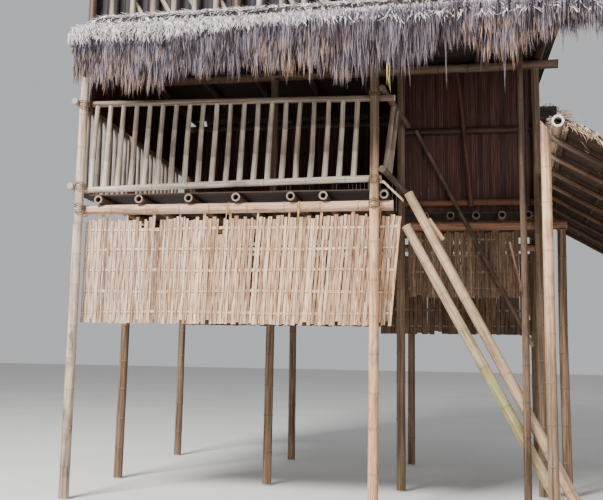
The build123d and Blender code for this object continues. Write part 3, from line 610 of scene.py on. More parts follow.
dress("ridge_pole", "beam_bamboo", roof_bamboo, bow=0.003)
# The top rail gets dark tones as painted shade under the eave, and the bottom rail pale tones as painted
# light
dress("front_top_rail", "beam_bamboo", rail_bamboo, step=0.42, sides=12, tone=(0.05, 0.1),
      warm=(0.2, 0.3))
dress("front_bottom_rail", "beam_bamboo", rail_bamboo, step=0.42, sides=12, sway=(0, 0, 0.012),
      tone=(0.9, 1), warm=(0, 0.1))
dress("front_balusters", "rail_bamboo", rail_bamboo, bow=0.006, tone=(0.4, 1.0), warm=(0, 0.3),
      **UPRIGHT)
dress("left_railing", "rail_bamboo", rail_bamboo, bow=0.004, tone=(0, 0.6), **UPRIGHT)
dress("loft_front_poles", "rail_bamboo", rail_bamboo, bow=0.004, tone=(0.05, 0.6), warm=(0, 0.4),
      **UPRIGHT)
dress("thin_brace", "prop_bamboo", roof_bamboo, bow=0.010, tone=(0.5, 0.6), **UPRIGHT)
dress("pent_rafters", "roof_bamboo", roof_bamboo, bow=0.003, **RAFTER)
dress("top_rafters", "roof_bamboo", roof_bamboo, bow=0.003, **RAFTER)
dress("lean_to_poles", "roof_bamboo", rail_bamboo, step=0.4, bow=0.008, tone=(0.3, 0.6),
      warm=(0.6, 0.9))
dress("lean_to_rafters", "roof_bamboo", roof_bamboo, bow=0.004, tone=(0.2, 0.7), warm=(0.5, 1),
      **RAFTER)


def joists():
    """The sawn ends are pale at the front and painted dark as shade elsewhere; the joists take the dark roof
    bamboo, partly smoke-darkened and partly painted shade under the deck.
    """
    culms = []
    for start, end, foot, tip in bars("floor_joists"):
        culm = lay_culm(start, end, foot, tip, bow=0.003)
        # Ends further back or to the right get a dark cut, as painted shade
        fresh = chance.uniform(0.4, 1.0) if start[1] < 0.5 and start[0] < 3.5 else 0.15
        mark(culm.data, "cut", marks(culm.data, "cut") * fresh)
        culms.append(culm)
    hand_in(join("floor_joist_culms", culms), "beam_bamboo", roof_bamboo, "floor_joists", smooth=40)


def return_rails():
    """Dark rails run back to the recessed wall, with a leaning pair of paler uprights between them."""
    culms = []
    for start, end, foot, tip in bars("return_railing"):
        upright = abs(end[2] - start[2]) > abs(end[1] - start[1])
        tone = 0.45 if upright else 0.0
        culm = lay_culm(start, end, foot, tip, bow=0.004, tone=(tone, tone), warm=(0.2, 0.4), **UPRIGHT)
        mark_all(culm.data, cut=0.0)
        culms.append(culm)
    hand_in(join("return_railing_culms", culms), "rail_bamboo", rail_bamboo, "return_railing", smooth=40)


def wall_frame():
    """The sill and the leaning stud are painted pale where they catch the light, and the rail and the side
    stud are painted nearly black as shade.
    """
    culms = []
    for start, end, foot, tip in bars("recessed_wall_frame"):
        level = abs(start[2] - end[2]) < 0.5
        leaning = abs(start[0] - end[0]) > 0.08 and not level
        tone = 1.0 if level and max(start[2], end[2]) < 3.7 else 0.35 if leaning else 0.05
        culms.append(lay_culm(start, end, foot, tip, bow=0.003, tone=(tone, tone), warm=(0.2, 0.4)))
    hand_in(join("recessed_wall_frame_culms", culms), "beam_bamboo", frame_bamboo,
            "recessed_wall_frame", smooth=40)


def props():
    """The upper prop is tan and the lower one is still partly green."""
    culms = []
    for start, end, foot, tip in bars("diagonal_props"):
        green = 0.3 if end[2] > 3.1 else 0.85
        culms.append(lay_culm(start, end, foot, tip, 0.4, 16, bow=0.008, tone=(0.6, 0.7),
                              warm=(0, 0.2), green=green))
    hand_in(join("diagonal_props_culms", culms), "prop_bamboo", prop_bamboo, "diagonal_props", smooth=40)


def pointed_post():
    """The lean-to's front post is sawn to a slanting point."""
    start, end, foot, _ = bars("lean_to_front_post")[0]
    tip = foot * 0.9
    post = lay_culm(start, end, foot, tip, bow=0.004, warm=(0.1, 0.2))
    tone = np.interp(points(post.data)[:, 2], (1.2, 2.2, 3.1, 3.7), (0.1, 0.8, 0.95, 0.3))
    mark(post.data, "tone", tone)
    edit(post)
    slant = math.radians(57)
    bpy.ops.mesh.bisect(
        plane_co=(start[0] - tip, start[1], end[2]), plane_no=(math.sin(slant), 0, math.cos(slant)),
        clear_outer=True, use_fill=True)
    leave_edit()
    hand_in(join("lean_to_front_post_culm", [post]), "post_bamboo", post_bamboo,
            "lean_to_front_post", smooth=40)


# Start, end, two radii and bow of a second thin pole beside the thin brace, and of a short one
# beside the upper prop
LOOSE_POLES = [
    ((4.79, 1.44, 2.93), (5.0, 1.44, 2.01), 0.014, 0.012, 0.006),
    ((3.86, 0.17, 3.00), (4.01, 0.17, 2.78), 0.028, 0.026, 0.002),
]


def loose_poles():
    poles = [lay_culm(start, end, foot, tip, bow=bow, tone=(0.9, 1), warm=(0.9, 1), **UPRIGHT)
             for start, end, foot, tip, bow in LOOSE_POLES]
    hand_in(join("loose_poles", poles), "prop_bamboo", prop_bamboo, smooth=40)


joists()
return_rails()
wall_frame()
props()
pointed_post()
loose_poles()


# Split bamboo strips: screens, walls and floors

def ribbon(cuts):
    """An upright flat strip, one metre each way, with so many cuts along it and its foot at the origin."""
    strip = add(bpy.ops.mesh.primitive_cube_add, size=1, location=(0, 0, 0.5))

    def upright(edge):
        first, second = (strip.data.vertices[corner].co.z for corner in edge.vertices)
        return abs(first - second) > 0.5

    choose(strip, "EDGE", upright)
    bpy.ops.mesh.subdivide(number_cuts=cuts)
    leave_edit()
    return strip


def lay_strip(pattern, shape, place, right, up, tone, cool=0.0, shade=None):
    """A copy of a strip: shape moves its points in its own frame, then two directions place it."""
    strip = double(pattern)
    raw = points(strip.data)
    co = shape(raw)
    mark(strip.data, "grain", co + chance.uniform(0, 40, 3))
    mark_all(strip.data, tone=tone, cool=cool)
    mark(strip.data, "shade", np.zeros(len(co)) if shade is None else shade(raw))
    mark(strip.data, "across", raw[:, 0] * 2)
    move_points(strip.data, np.array(place) + co @ np.array([right, np.cross(right, up), up], float))
    return strip


# How thick a screen's slats are, and how far they swing to pass the cross strips
SLAT_THICK = 0.0035
SLAT_SWING = 0.005
# How wide and thick the cross strips are, and how far they swing to pass the slats
CROSS_WIDE = 0.036
CROSS_THICK = 0.003
CROSS_SWING = 0.0055


def woven_screen(name, material, widths, rows, ends, gaps=(), lift=None, tones=(0, 1), head_in=0.05):
    """A hanging screen: uneven slats woven over and under the cross strips, with ragged ends.

    The ends are X at the head's left and right and at the foot's left and right. Each gap gives the
    shares of the width between which the slats' heads are lower, and by how much.
    """
    low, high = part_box(name)
    head_left, head_right, foot_left, foot_right = ends
    y = (low.y + high.y) / 2 - 0.001
    head = high.z - head_in
    height = head - low.z - 0.016
    span = head_right - head_left
    upright = ribbon(2 * rows + 1)
    cross = ribbon(int(span / 0.02))
    pieces = []
    borders = [0.0]
    while borders[-1] < span - widths[1]:
        borders.append(borders[-1] + chance.uniform(*widths))
    borders.append(span)
    for i, (a, b) in enumerate(zip(borders, borders[1:])):
        share = (a + b) / 2 / span
        x_head = head_left + (a + b) / 2
        run = foot_left + (foot_right - foot_left) * share - x_head
        over = 1 if i % 2 else -1
        top = head + chance.uniform(-0.028, 0.022)
        bottom = low.z + abs(chance.normal()) * 0.009
        if chance.random() < 0.12:
            bottom += chance.uniform(0.02, 0.05)
        if lift:
            bottom += lift(x_head)
        for gap_from, gap_to, drop in gaps:
            if gap_from < share < gap_to:
                top = head - drop - chance.uniform(0, 0.03)
        if i % 9 == 5:
            top = high.z
        wide = (b - a) * chance.uniform(1.04, 1.22)
        if chance.random() < 0.06:
            wide *= 0.72
        drift = chance.normal() * 0.005

        def slat(co):
            z = bottom + (top - bottom) * co[:, 2]
            fallen = (head - z) / height
            depth = over * SLAT_SWING * np.sin(np.pi * fallen * rows)
            x = co[:, 0] * wide * (1 - 0.12 * co[:, 2]) + drift * np.sin(co[:, 2] * 3) + run * fallen
            return np.column_stack([x, co[:, 1] * SLAT_THICK + depth, z])

        tone = tones[0] + (tones[1] - tones[0]) * chance.uniform(0, 1)
        cool = max(chance.uniform(-1.2, 0.8), 1 - 2 * share)
        pieces.append(lay_strip(upright, slat, (x_head, y, 0), (1, 0, 0), (0, 0, 1), tone, cool))
    middles = (np.array(borders[:-1]) + np.array(borders[1:])) / 2
    woven = np.where(np.arange(len(middles)) % 2 == 1, -1.0, 1.0)
    for row in range(rows):
        share = (row + 0.5) / rows
        x_left = head_left + (foot_left - head_left) * share - 0.002
        x_right = head_right + (foot_right - head_right) * share + chance.uniform(-0.03, 0.004)
        spots = head_left + middles * (1 + (foot_right - head_right) / span * share)
        sides = woven if row % 2 else -woven

        def strip(co):
            along = x_left + (x_right - x_left) * co[:, 2]
            depth = CROSS_SWING * np.interp(along, spots, sides)
            droop = 0.006 * np.sin(co[:, 2] * 9 + row * 2)
            return np.column_stack([co[:, 0] * CROSS_WIDE + droop, co[:, 1] * CROSS_THICK + depth, along])

        place = (0, y, head - height * share)
        pieces.append(lay_strip(cross, strip, place, (0, 0, -1), (1, 0, 0), chance.uniform(0.75, 1), 0.5))
    stow(upright)
    stow(cross)
    hand_in(join(name + "_weave", pieces), "screen_slats", material, name)


def screens():
    """The front screen narrows towards its foot, and the other two hang plumb."""
    low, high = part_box("front_screen")
    woven_screen("front_screen", screen_split, (0.020, 0.050), 5,
                 (low.x + 0.005, high.x, low.x, high.x - 0.108),
                 [(0.44, 0.453, 0.17), (0.475, 0.482, 0.07), (0.185, 0.20, 0.12), (0.235, 0.25, 0.10)])
    low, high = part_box("middle_screen")
    woven_screen("middle_screen", short_split, (0.02, 0.045), 4, (low.x, high.x) * 2,
                 [(0.3, 0.33, 0.05)], head_in=0.015)
    low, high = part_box("back_screen")
    woven_screen("back_screen", short_split, (0.05, 0.09), 5, (low.x, high.x) * 2,
                 lift=lambda x: 0.10 if x < 3.1 else 0.0, tones=(0, 0.5))


screens()


WALL_STRIP_THICK = 0.010


def strip_wall(width, start, right, length, low, high, outline=None):
    """Upright split strips side by side, from one end of a wall to the other."""
    pattern = ribbon(1)
    count = max(2, int(length / width))
    step = length / count
    pieces = []
    for i in range(count):
        top = high if outline is None else outline((i + 0.5) * step)
        if top - low < 0.05:
            continue
        wide = step * chance.uniform(0.93, 1.0)
        out = chance.uniform(-0.002, 0.002)

        def shape(co):
            height = low + (top - low) * co[:, 2]
            return np.column_stack([co[:, 0] * wide, co[:, 1] * WALL_STRIP_THICK + out, height])

        place = np.array((*start, 0)) + np.array(right) * step * (i + 0.5)
        pieces.append(lay_strip(pattern, shape, place, right, (0, 0, 1), chance.uniform(0, 1)))
    stow(pattern)
    return pieces


def wall_along_x(name, slot, material, width):
    low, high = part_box(name)
    strips = strip_wall(width, (low.x, (low.y + high.y) / 2), (1, 0, 0), high.x - low.x, low.z, high.z)
    hand_in(join(name + "_strips", strips), slot, material, name)


wall_along_x("recessed_wall", "wall_mat", wall_split, 0.026)
wall_along_x("back_wall", "wall_mat", wall_split, 0.06)
# The loft's front wall is painted near-black as shade
wall_along_x("loft_front_wall", "loft_mat", loft_shade_split, 0.07)

# The left mat reaches down to the handrail, and up between the plates to the roof
MAT_DOWN = 0.095
MAT_UP = 0.16
PLATE_CLEARANCE = 0.085


def side_wall_strips():
    """The wall on the right, which isn't quite square to the front, and the mat high on the left."""
    co = points(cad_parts["side_walls"].data)
    pieces = []
    for cloud in (co[co[:, 0] < 2], co[co[:, 0] > 2]):
        near = cloud[cloud[:, 1] < cloud[:, 1].min() + 0.03]
        far = cloud[cloud[:, 1] > cloud[:, 1].max() - 0.03]
        start = (near.min(axis=0) + near.max(axis=0)) / 2
        end = (far.min(axis=0) + far.max(axis=0)) / 2
        run = (end - start)[:2]
        length = np.linalg.norm(run)
        low, high = cloud[:, 2].min(), cloud[:, 2].max()
        plates = [start[1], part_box("middle_posts")[0].y + 0.04, end[1]]

        def head(place):
            clear = min(abs(start[1] + place - y) for y in plates) > PLATE_CLEARANCE
            return high + MAT_UP if clear else high

        left = end[0] < 2
        pieces += strip_wall(0.06, start[:2], (*(run / length), 0), length,
                             low - MAT_DOWN if left else low, high, head if left else None)
    hand_in(join("side_wall_strips", pieces), "wall_mat", wall_split, "side_walls")


side_wall_strips()


def islands(name):
    """The boxes of the separate solids in a node, from left to right."""
    boxes = [(cloud.min(axis=0), cloud.max(axis=0)) for cloud in clouds_of(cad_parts[name].data)]
    return sorted(boxes, key=lambda box: tuple(box[0]))


def loft_walls():
    """The mats at the back and both sides of the loft, and in its two gables, painted near-black as shade.
    """
    pieces = []
    for low, high in islands("loft_mat_walls"):
        size = high - low
        middle = (low + high) / 2
        if size[0] > size[1]:
            pieces += strip_wall(0.08, (low[0], middle[1]), (1, 0, 0), size[0], low[2], high[2])
        else:
            pieces += strip_wall(0.08, (middle[0], low[1]), (0, 1, 0), size[1], low[2], high[2])
    hand_in(join("loft_wall_strips", pieces), "loft_mat", loft_shade_split, "loft_mat_walls")
    pieces = []
    for low, high in islands("gable_mats"):
        half = (high[1] - low[1]) / 2

        def peak(place):
            return low[2] + (high[2] - low[2]) * (1 - abs(place - half) / half)

        pieces += strip_wall(0.08, ((low[0] + high[0]) / 2, low[1]), (0, 1, 0), 2 * half,
                             low[2], high[2], peak)
    hand_in(join("gable_strips", pieces), "loft_mat", loft_shade_split, "gable_mats")


loft_walls()


# About how wide a floor strip is, and how much thinner than its floor, so that it can lie unevenly
FLOOR_STRIP = 0.095
FLOOR_PLAY = 0.006


def split_floor(name, outline, edge_tone=None):
    """A floor of flattened bamboo strips that run along the house across the joists, their undersides
    painted dark as shade.
    """
    low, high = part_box(name)
    pattern = ribbon(7)
    count = int((high.y - low.y) / FLOOR_STRIP)
    step = (high.y - low.y) / count
    thick = high.z - low.z - FLOOR_PLAY
    pieces = []
    for i in range(count):
        y = low.y + step * (i + 0.5)
        left, right = outline(y)
        tone = chance.uniform(0, 1) if i or edge_tone is None else edge_tone
        lift = chance.uniform(-0.003, 0.001)
        wide = step * chance.uniform(0.9, 0.99)

        def shape(co):
            along = left + (right - left) * co[:, 2]
            return np.column_stack([co[:, 0] * wide, co[:, 1] * thick + lift, along])

        # Each strip's underside is marked for painted shade
        pieces.append(lay_strip(pattern, shape, (0, y, (low.z + high.z) / 2), (0, -1, 0), (1, 0, 0), tone,
                                shade=lambda raw: (raw[:, 1] < 0) * 1.0))
    stow(pattern)
    hand_in(join(name + "_strips", pieces), "split_floor", floor_split, name)


def floors():
    """The deck ends with the balcony, then follows the room's askew right side. The loft's is square."""
    low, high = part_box("first_floor_deck")
    recess_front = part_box("recessed_wall")[0].y - 0.05
    balcony_end = 3.443
    askew = 0.2

    def deck_ends(y):
        if y < recess_front:
            return low.x, balcony_end
        return low.x, high.x - askew * (high.y - y) / (high.y - recess_front)

    split_floor("first_floor_deck", deck_ends, 1.0)
    loft_low, loft_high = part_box("loft_floor")
    split_floor("loft_floor", lambda y: (loft_low.x, loft_high.x))


floors()


# Ties and lashings

POST_RADIUS = 0.053
LASHED_POSTS = (0, 3.3)
# The height of each pole that crosses behind a lashed post, and how far back its axis lies
LASHED_POLES = ((3.145, 0.115), (3.40, 0.076), (4.34, 0.072))
# The cord's half thickness, the step from turn to turn and how much each turn leans
CORD = 0.0035
CORD_STEP = 0.012
CORD_LEAN = 0.35
# Y and Z of the front beam where the yellow ties go round it, and the two radii and half thickness
# of their turns
TIED_BEAM = (0.109, 3.139)
TIE_SIZE = (0.0605, 0.064, 0.0055)
# X and lean of each turn, and X of the loose ends
TIE_TURNS = ((1.70, 0.05), (1.712, -0.04), (2.48, 0.03), (2.494, -0.05))
TIE_ENDS = (1.70, 2.482, 2.494)


def hoop(place, wide, deep, thick, lean, axis="Z"):
    """One turn of cord round a joint, wide and deep, tipped by lean."""
    ring = add(bpy.ops.mesh.primitive_torus_add, location=(0, 0, 0), major_radius=1,
               minor_radius=thick / wide, major_segments=14, minor_segments=4)
    co = points(ring.data) * (wide, deep, wide)
    co[:, 2] += co[:, 1] * math.tan(lean)
    if axis == "X":
        co = co[:, [2, 0, 1]]
    mark(ring.data, "grain", co + chance.uniform(0, 40, 3))
    mark_all(ring.data, tone=chance.uniform(0, 1), cool=0, shade=0, across=0)
    move_points(ring.data, co + np.array(place))
    return ring


def lashings():
    """Cord bound round two posts and what lies behind them, and two yellow ties over the front beam."""
    turns = []
    for x in LASHED_POSTS:
        for z, behind in LASHED_POLES:
            for k in range(4):
                place = (x, behind / 2, z + CORD_STEP * (k - 1.5))
                lean = CORD_LEAN if k % 2 else -CORD_LEAN
                turns.append(hoop(place, POST_RADIUS + 0.005, POST_RADIUS + behind / 2 + 0.006, CORD, lean))
    hand_in(join("lashings", turns), "beam_bamboo", cord_split)
    ties = [hoop((x, *TIED_BEAM), *TIE_SIZE, lean, "X") for x, lean in TIE_TURNS]
    strip = ribbon(3)
    for x in TIE_ENDS:
        sag = chance.uniform(-0.01, 0.01)

        def hang(co):
            return np.column_stack([co[:, 0] * 0.009 + sag * co[:, 2], co[:, 1] * 0.003, -co[:, 2] * 0.12])

        ties.append(lay_strip(strip, hang, (x, 0.049, 3.12), (1, 0, 0), (0, 0, 1), 0.9))
    stow(strip)
    hand_in(join("ties", ties), "prop_bamboo", tie_split)


PEEL_BENDS = np.array([(3.32, 0.06, 3.392), (3.40, 0.05, 3.386), (3.45, 0.06, 3.335),
                       (3.53, 0.10, 3.262), (3.60, 0.15, 3.20)])


def peeled_strip():
    """A pale strip split from the upper prop's head, bent over towards the middle post."""
    strip = ribbon(11)

    def curl(co):
        share = np.linspace(0, 1, len(PEEL_BENDS))
        path = np.column_stack([np.interp(co[:, 2], share, column) for column in PEEL_BENDS.T])
        path[:, 2] += co[:, 0] * 0.034
        path[:, 1] = -path[:, 1] + co[:, 1] * 0.006
        return path

    piece = lay_strip(strip, curl, (0, 0, 0), (1, 0, 0), (0, 0, 1), 0.9)
    stow(strip)
    hand_in(join("peeled_strip", [piece]), "prop_bamboo", peel_split)


lashings()
peeled_strip()


# Thatch

def stem():
    """A three-sided stem that tapers to a point, one metre high and one across, bent at its middle."""
    made = add(bpy.ops.mesh.primitive_cone_add, vertices=3, radius1=0.5, radius2=0, depth=1,
               end_fill_type="NOTHING", location=(0, 0, 0.5))
    edit(made)
    bpy.ops.mesh.bisect(plane_co=(0, 0, 0.55), plane_no=(0, 0, 1))
    leave_edit()
    co = points(made.data)
    co[:, :2] *= 1 + 0.6 * co[:, 2:3]
    move_points(made.data, co)
    return made


def spun(co, angle):
    """X and Y after a turn about Z."""
    return (co[:, 0] * math.cos(angle) - co[:, 1] * math.sin(angle),
            co[:, 0] * math.sin(angle) + co[:, 1] * math.cos(angle))


def lock(count, spread, width, gather, fan):
    """A lock of a few stems that run along +Z and gather towards their tips."""
    stems = []
    for _ in range(count):
        one = double(one_stem)
        co = points(one.data)
        tall = chance.uniform(0.55, 1.0)
        x, y = spun(co, chance.uniform(0, 2 * math.pi))
        foot = chance.uniform(-spread, spread, 2)
        curl = chance.normal(size=2) * fan
        wide = width * chance.uniform(0.6, 1.3)
        hold = 1 - gather * co[:, 2] ** 1.5
        bend = co[:, 2] ** 1.6
        mark(one.data, "along", co[:, 2] * tall)
        mark_all(one.data, tone=chance.uniform(0, 1), warm=0)
        move_points(one.data, np.column_stack([
            x * wide + foot[0] * hold + curl[0] * bend,
            y * wide + foot[1] * hold + curl[1] * bend,
            co[:, 2] * tall,
        ]))
        stems.append(one)
    bunch = join("lock", stems)
    bunch.hide_render = True
    return bunch


one_stem = stem()
hanging_locks = [lock(6, 0.030, 0.011, 0.75, 0.014) for _ in range(8)]
stray_locks = [lock(3, 0.012, 0.006, 0.8, 0.03) for _ in range(5)]
lying_locks = [lock(6, 0.045, 0.013, 0.2, 0.05) for _ in range(8)]


def lay_lock(locks, place, direction, length, size=1.0, shade=0.0, warm=0.0, flat=0.6):
    """A copy of a lock: its foot at place, running along direction."""
    one = double(locks[chance.integers(len(locks))])
    co = points(one.data)
    direction = Vector(direction).normalized()
    side = direction.cross(Vector((0, 0, 1)))
    if side.length < 0.05:
        side = Vector((1, 0, 0))
    side.normalize()
    x, y = spun(co, chance.uniform(-0.4, 0.4))
    shape = np.column_stack([x * size, y * size * flat, co[:, 2] * length])
    move_points(one.data, np.array(place) + shape @ np.array([side, direction.cross(side), direction]))
    mark(one.data, "tone", np.clip(marks(one.data, "tone") + shade, 0, 1))
    mark_all(one.data, warm=warm)
    return one


def thatch(name, locks, material):
    hand_in(join(name, locks), "thatch", material)


def thatch_body(name, material, lump, voxel=0.05, shape=None):
    """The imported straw: a copy of the plain roof slab, remeshed, roughened and drawn in a little."""
    body = double(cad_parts[name], name + "_pack")
    edit(body)
    bpy.ops.mesh.remove_doubles(threshold=0.0001)
    leave_edit()
    apply(body, "remesh", "REMESH", mode="VOXEL", voxel_size=voxel)
    if shape:
        move_points(body.data, shape(points(body.data)))
    for size, strength in ((0.30, lump), (0.07, lump * 0.7)):
        clouds = bpy.data.textures.new(name + "_lumps", "CLOUDS")
        clouds.noise_scale = size
        apply(body, "lumps", "DISPLACE", texture=clouds, strength=strength, mid_level=0.85)
    hand_in(body, "thatch", material, name, smooth=60)


class Roof:
    """One thatched slope: a line along its top edge, the way it falls, and its plain node to measure on."""

    def __init__(self, name, start, end, out, run):
        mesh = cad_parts[name].data
        self.solid = BVHTree.FromPolygons([v.co for v in mesh.vertices], [p.vertices for p in mesh.polygons])
        self.start, self.end = Vector(start), Vector(end)
        self.along = (self.end - self.start).normalized()
        self.length = (self.end - self.start).length
        self.out = Vector(out).normalized()
        self.run = run

    def spot(self, along, out):
        return self.start + self.along * along + self.out * out

    def point(self, along, out):
        """Where the plain slope's top lies, and how steep it is there, at a place in plan."""
        spot = self.spot(along, out)
        heights = []
        for reach in (-0.02, 0.02):
            probe = spot + self.out * reach
            place = self.solid.ray_cast(Vector((probe.x, probe.y, 12)), Vector((0, 0, -1)))[0]
            if place is None:
                return None, None
            heights.append(place.z)
        fall = max(-1.2, min(0.2, (heights[1] - heights[0]) / 0.04))
        spot.z = (heights[0] + heights[1]) / 2
        return spot, (self.out + Vector((0, 0, fall))).normalized()


def mottled(specks):
    """Mostly near the common tone, with a dark lock now and then."""
    return -0.9 if chance.random() < specks else chance.normal() * 0.15


def cover(roof, step, row, length, size):
    """Locks that lie down the slope in overlapping rows, turned inwards at its two ends."""
    pieces = []
    out = 0.02
    margin = 0.04 * size
    while out < roof.run:
        along = margin + chance.uniform(0, step)
        while along < roof.length - margin:
            spot, down = roof.point(along, out + chance.uniform(-0.4, 0.4) * row)
            if spot is not None:
                spot.z -= 0.012 + chance.uniform(-0.006, 0.006)
                aside = chance.normal() * 0.28
                if along < 0.3:
                    aside = abs(aside)
                elif along > roof.length - 0.3:
                    aside = -abs(aside)
                down += roof.along * aside + Vector((0, 0, chance.normal() * 0.05))
                shade = mottled(0.06)
                pieces.append(lay_lock(lying_locks, spot, down, length * chance.uniform(0.7, 1.2), size,
                                       shade, chance.uniform(0, 1), 0.5))
            along += step * chance.uniform(0.6, 1.4)
        out += row
    return pieces


# Each row of locks in a beard: where it springs from and where it ends, as shares of the beard's
# height, and how far back it is
ROWS = [(0.0, 0.42, 0.015), (0.06, 0.55, 0.02), (0.14, 0.68, 0.025), (0.22, 0.82, 0.035),
        (0.3, 0.94, 0.045), (0.38, 1.06, 0.06), (0.42, 1.0, 0.075), (0.3, 1.1, 0.09)]


def fringe(roof, lip, hem, rows, step, size, strays):
    """The beard: locks spring from the eave's lip and hang to its hem, one row behind the other."""
    pieces = []
    for spring, finish, inset in rows:
        along = 0.03 + chance.uniform(0.0, step)
        while along < roof.length - 0.03:
            top = lip(along)
            tall = top - hem(along)
            ragged = 0.10 * math.sin(along * 9.0 + spring * 20) + 0.07 * math.sin(along * 23.0)
            ragged += chance.normal() * 0.06
            high = top - tall * spring + chance.normal() * 0.012
            low = top - tall * (finish + ragged)
            spot = roof.spot(along, roof.run - inset)
            spot.z = high
            down = roof.out * (0.02 + chance.normal() * 0.04) + roof.along * chance.normal() * 0.06
            down.z -= 1
            warm = 0.9 if math.sin(along * 3.1 + 0.6) + chance.normal() * 0.8 > 0.3 else 0.1
            shade = 0.22 * math.sin(along * 17.0 + spring * 9) + chance.normal() * 0.22
            pieces.append(lay_lock(hanging_locks, spot, down, max(0.08, high - low), size, shade, warm))
            along += step * chance.uniform(0.5, 1.5)
    for _ in range(int(roof.length * strays * 12)):
        along = chance.uniform(0.05, roof.length - 0.05)
        spot = roof.spot(along, roof.run - chance.uniform(0.02, 0.09))
        tall = lip(along) - hem(along)
        spot.z = hem(along) + tall * 0.4
        down = roof.along * chance.normal() * 0.06 + Vector((0, 0, -1))
        pieces.append(lay_lock(stray_locks, spot, down, tall * chance.uniform(0.5, 0.85), 1.0, 0.25,
                               chance.uniform(0.3, 1)))
    return pieces


def depth(name):
    low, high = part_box(name)
    return high.y - low.y


def roof_from(name, side, run):
    """A roof whose top edge runs along X, on the front (-1) or the back (1) of the house."""
    low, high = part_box(name)
    y = high.y if side < 0 else low.y
    return Roof(name, (low.x, y, high.z), (high.x, y, high.z), (0, side, 0), run)


pent_run = depth("front_pent_thatch")
top_run = depth("top_front_thatch")
front_roof = roof_from("front_pent_thatch", -1, pent_run)
pent_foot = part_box("front_pent_thatch")[0].z
top_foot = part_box("top_front_thatch")[0].z

# The front eave's lip and hem, as heights at places along the house
LIP_X, LIP_Z = (0.2, 1.2, 2.0, 2.6, 3.3, 4.1, 5.8), (4.74, 4.71, 4.79, 4.84, 4.89, 4.915, 4.91)
HEM_X = (0.2, 0.8, 1.15, 1.45, 2.0, 2.6, 3.1, 3.7, 3.85, 4.0, 4.25, 4.4, 4.75, 4.88, 5.25, 5.8)
HEM_Z = (4.31, 4.22, 4.19, 4.32, 4.33, 4.31, 4.24, 4.27, 4.38, 4.48, 4.48, 4.38, 4.38, 4.51, 4.54, 4.48)
# The top of the short straw over the eave, the height where it starts to bend back and how far out
# it is below that
BROW_TOP = 4.95
BROW_BEND = 4.80
BROW_OUT = 0.863
BROW_LEVELS = 7
# Single long strands under the hem: X, and the heights of both ends
STRANDS = ((3.69, 4.55, 4.08), (4.05, 4.66, 4.03), (4.39, 4.56, 4.10), (4.58, 4.56, 3.96),
           (5.12, 4.7, 4.2), (5.23, 4.7, 4.28))
STRAND_Y = -0.83


def front_lip(along):
    return float(np.interp(along + front_roof.start.x, LIP_X, LIP_Z))


def front_hem(along):
    return float(np.interp(along + front_roof.start.x, HEM_X, HEM_Z))


def front_pack(co):
    """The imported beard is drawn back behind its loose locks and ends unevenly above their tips."""
    lip = np.interp(co[:, 0], LIP_X, LIP_Z)
    hem = np.interp(co[:, 0], HEM_X, HEM_Z)
    beard = np.clip((front_roof.start.y - co[:, 1] - 0.70) / 0.10, 0, 1)
    co[:, 1] += beard * np.clip((lip - co[:, 2]) / 0.08, 0, 1) * 0.055
    ragged = 0.035 * np.sin(co[:, 0] * 11) + 0.02 * np.sin(co[:, 0] * 29)
    foot = np.maximum(hem + 0.13 + ragged, pent_foot + 0.05)
    height = np.clip((co[:, 2] - pent_foot) / (lip - pent_foot), 0, None)
    lower = (height < 1) & (beard > 0)
    co[lower, 2] = (foot + (lip - foot) * height)[lower]
    return co


def brow(roof, lip):
    """Short pale straw that bends over the eave from the slope down to the lip."""
    pieces = []
    for level in range(BROW_LEVELS):
        along = 0.04
        while along < roof.length - 0.04:
            low = lip(along)
            high = low + (BROW_TOP - low) * (level + chance.uniform(0, 1)) / BROW_LEVELS
            spot = roof.spot(along, BROW_OUT - 0.9 * max(0, high - BROW_BEND))
            spot.z = high
            aside = chance.normal() * 0.35
            if along < 0.2:
                aside = abs(aside)
            down = roof.out * 0.12 + roof.along * aside + Vector((0, 0, -1))
            shade = mottled(0.07)
            pieces.append(lay_lock(lying_locks, spot, down, chance.uniform(0.07, 0.13), 0.8, shade,
                                   chance.uniform(0, 1), 0.4))
            along += 0.05 * chance.uniform(0.6, 1.4)
    return pieces


def front_straw():
    """The front pent roof's beard with its single strands, its loose cover and its brow."""
    beard = fringe(front_roof, front_lip, front_hem, ROWS, 0.030, 1.0, 1.0)
    for x, high, low in STRANDS:
        beard.append(lay_lock(hanging_locks, (x, STRAND_Y, high), (chance.normal() * 0.03, 0, -1),
                              high - low, 0.5, 0.0, 0.5))
    thatch("front_fringe", beard, fringe_straw)
    yellow = lay_lock(stray_locks, (3.5, -0.82, 4.36), (0.01, 0, -1), 0.40, 1.3, 0.3, 1.0)
    thatch("yellow_strand", [yellow], yellow_straw)
    thatch("front_cover", cover(front_roof, 0.05, 0.06, 0.17, 0.9), top_straw)
    thatch("front_brow", brow(front_roof, front_lip), top_straw)


def plain_beard(roof, foot, tall, step, size):
    """The beard of an eave that hangs evenly."""
    return fringe(roof, lambda along: foot + tall, lambda along: foot + 0.02 * math.sin(along * 3),
                  ROWS[::2], step, size, 0.5)


# A beard's height, the step between its locks and their size, then the cover's step, row, length
# and size
PENT_STRAW = ((0.50, 0.055, 1.6), (0.09, 0.10, 0.26, 1.5))
TOP_STRAW = ((0.38, 0.065, 1.7), (0.095, 0.12, 0.30, 1.6))


def plain_slopes():
    """The back pent roof and both slopes of the top roof."""
    for name, roof, foot, beard, lying in (
        ("back", roof_from("back_pent_thatch", 1, pent_run), pent_foot, *PENT_STRAW),
        ("top_front", roof_from("top_front_thatch", -1, top_run), top_foot, *TOP_STRAW),
        ("top_back", roof_from("top_back_thatch", 1, top_run), top_foot, *TOP_STRAW),
    ):
        thatch(name + "_fringe", plain_beard(roof, foot - 0.05, *beard), fringe_straw)
        thatch(name + "_cover", cover(roof, *lying), top_straw)


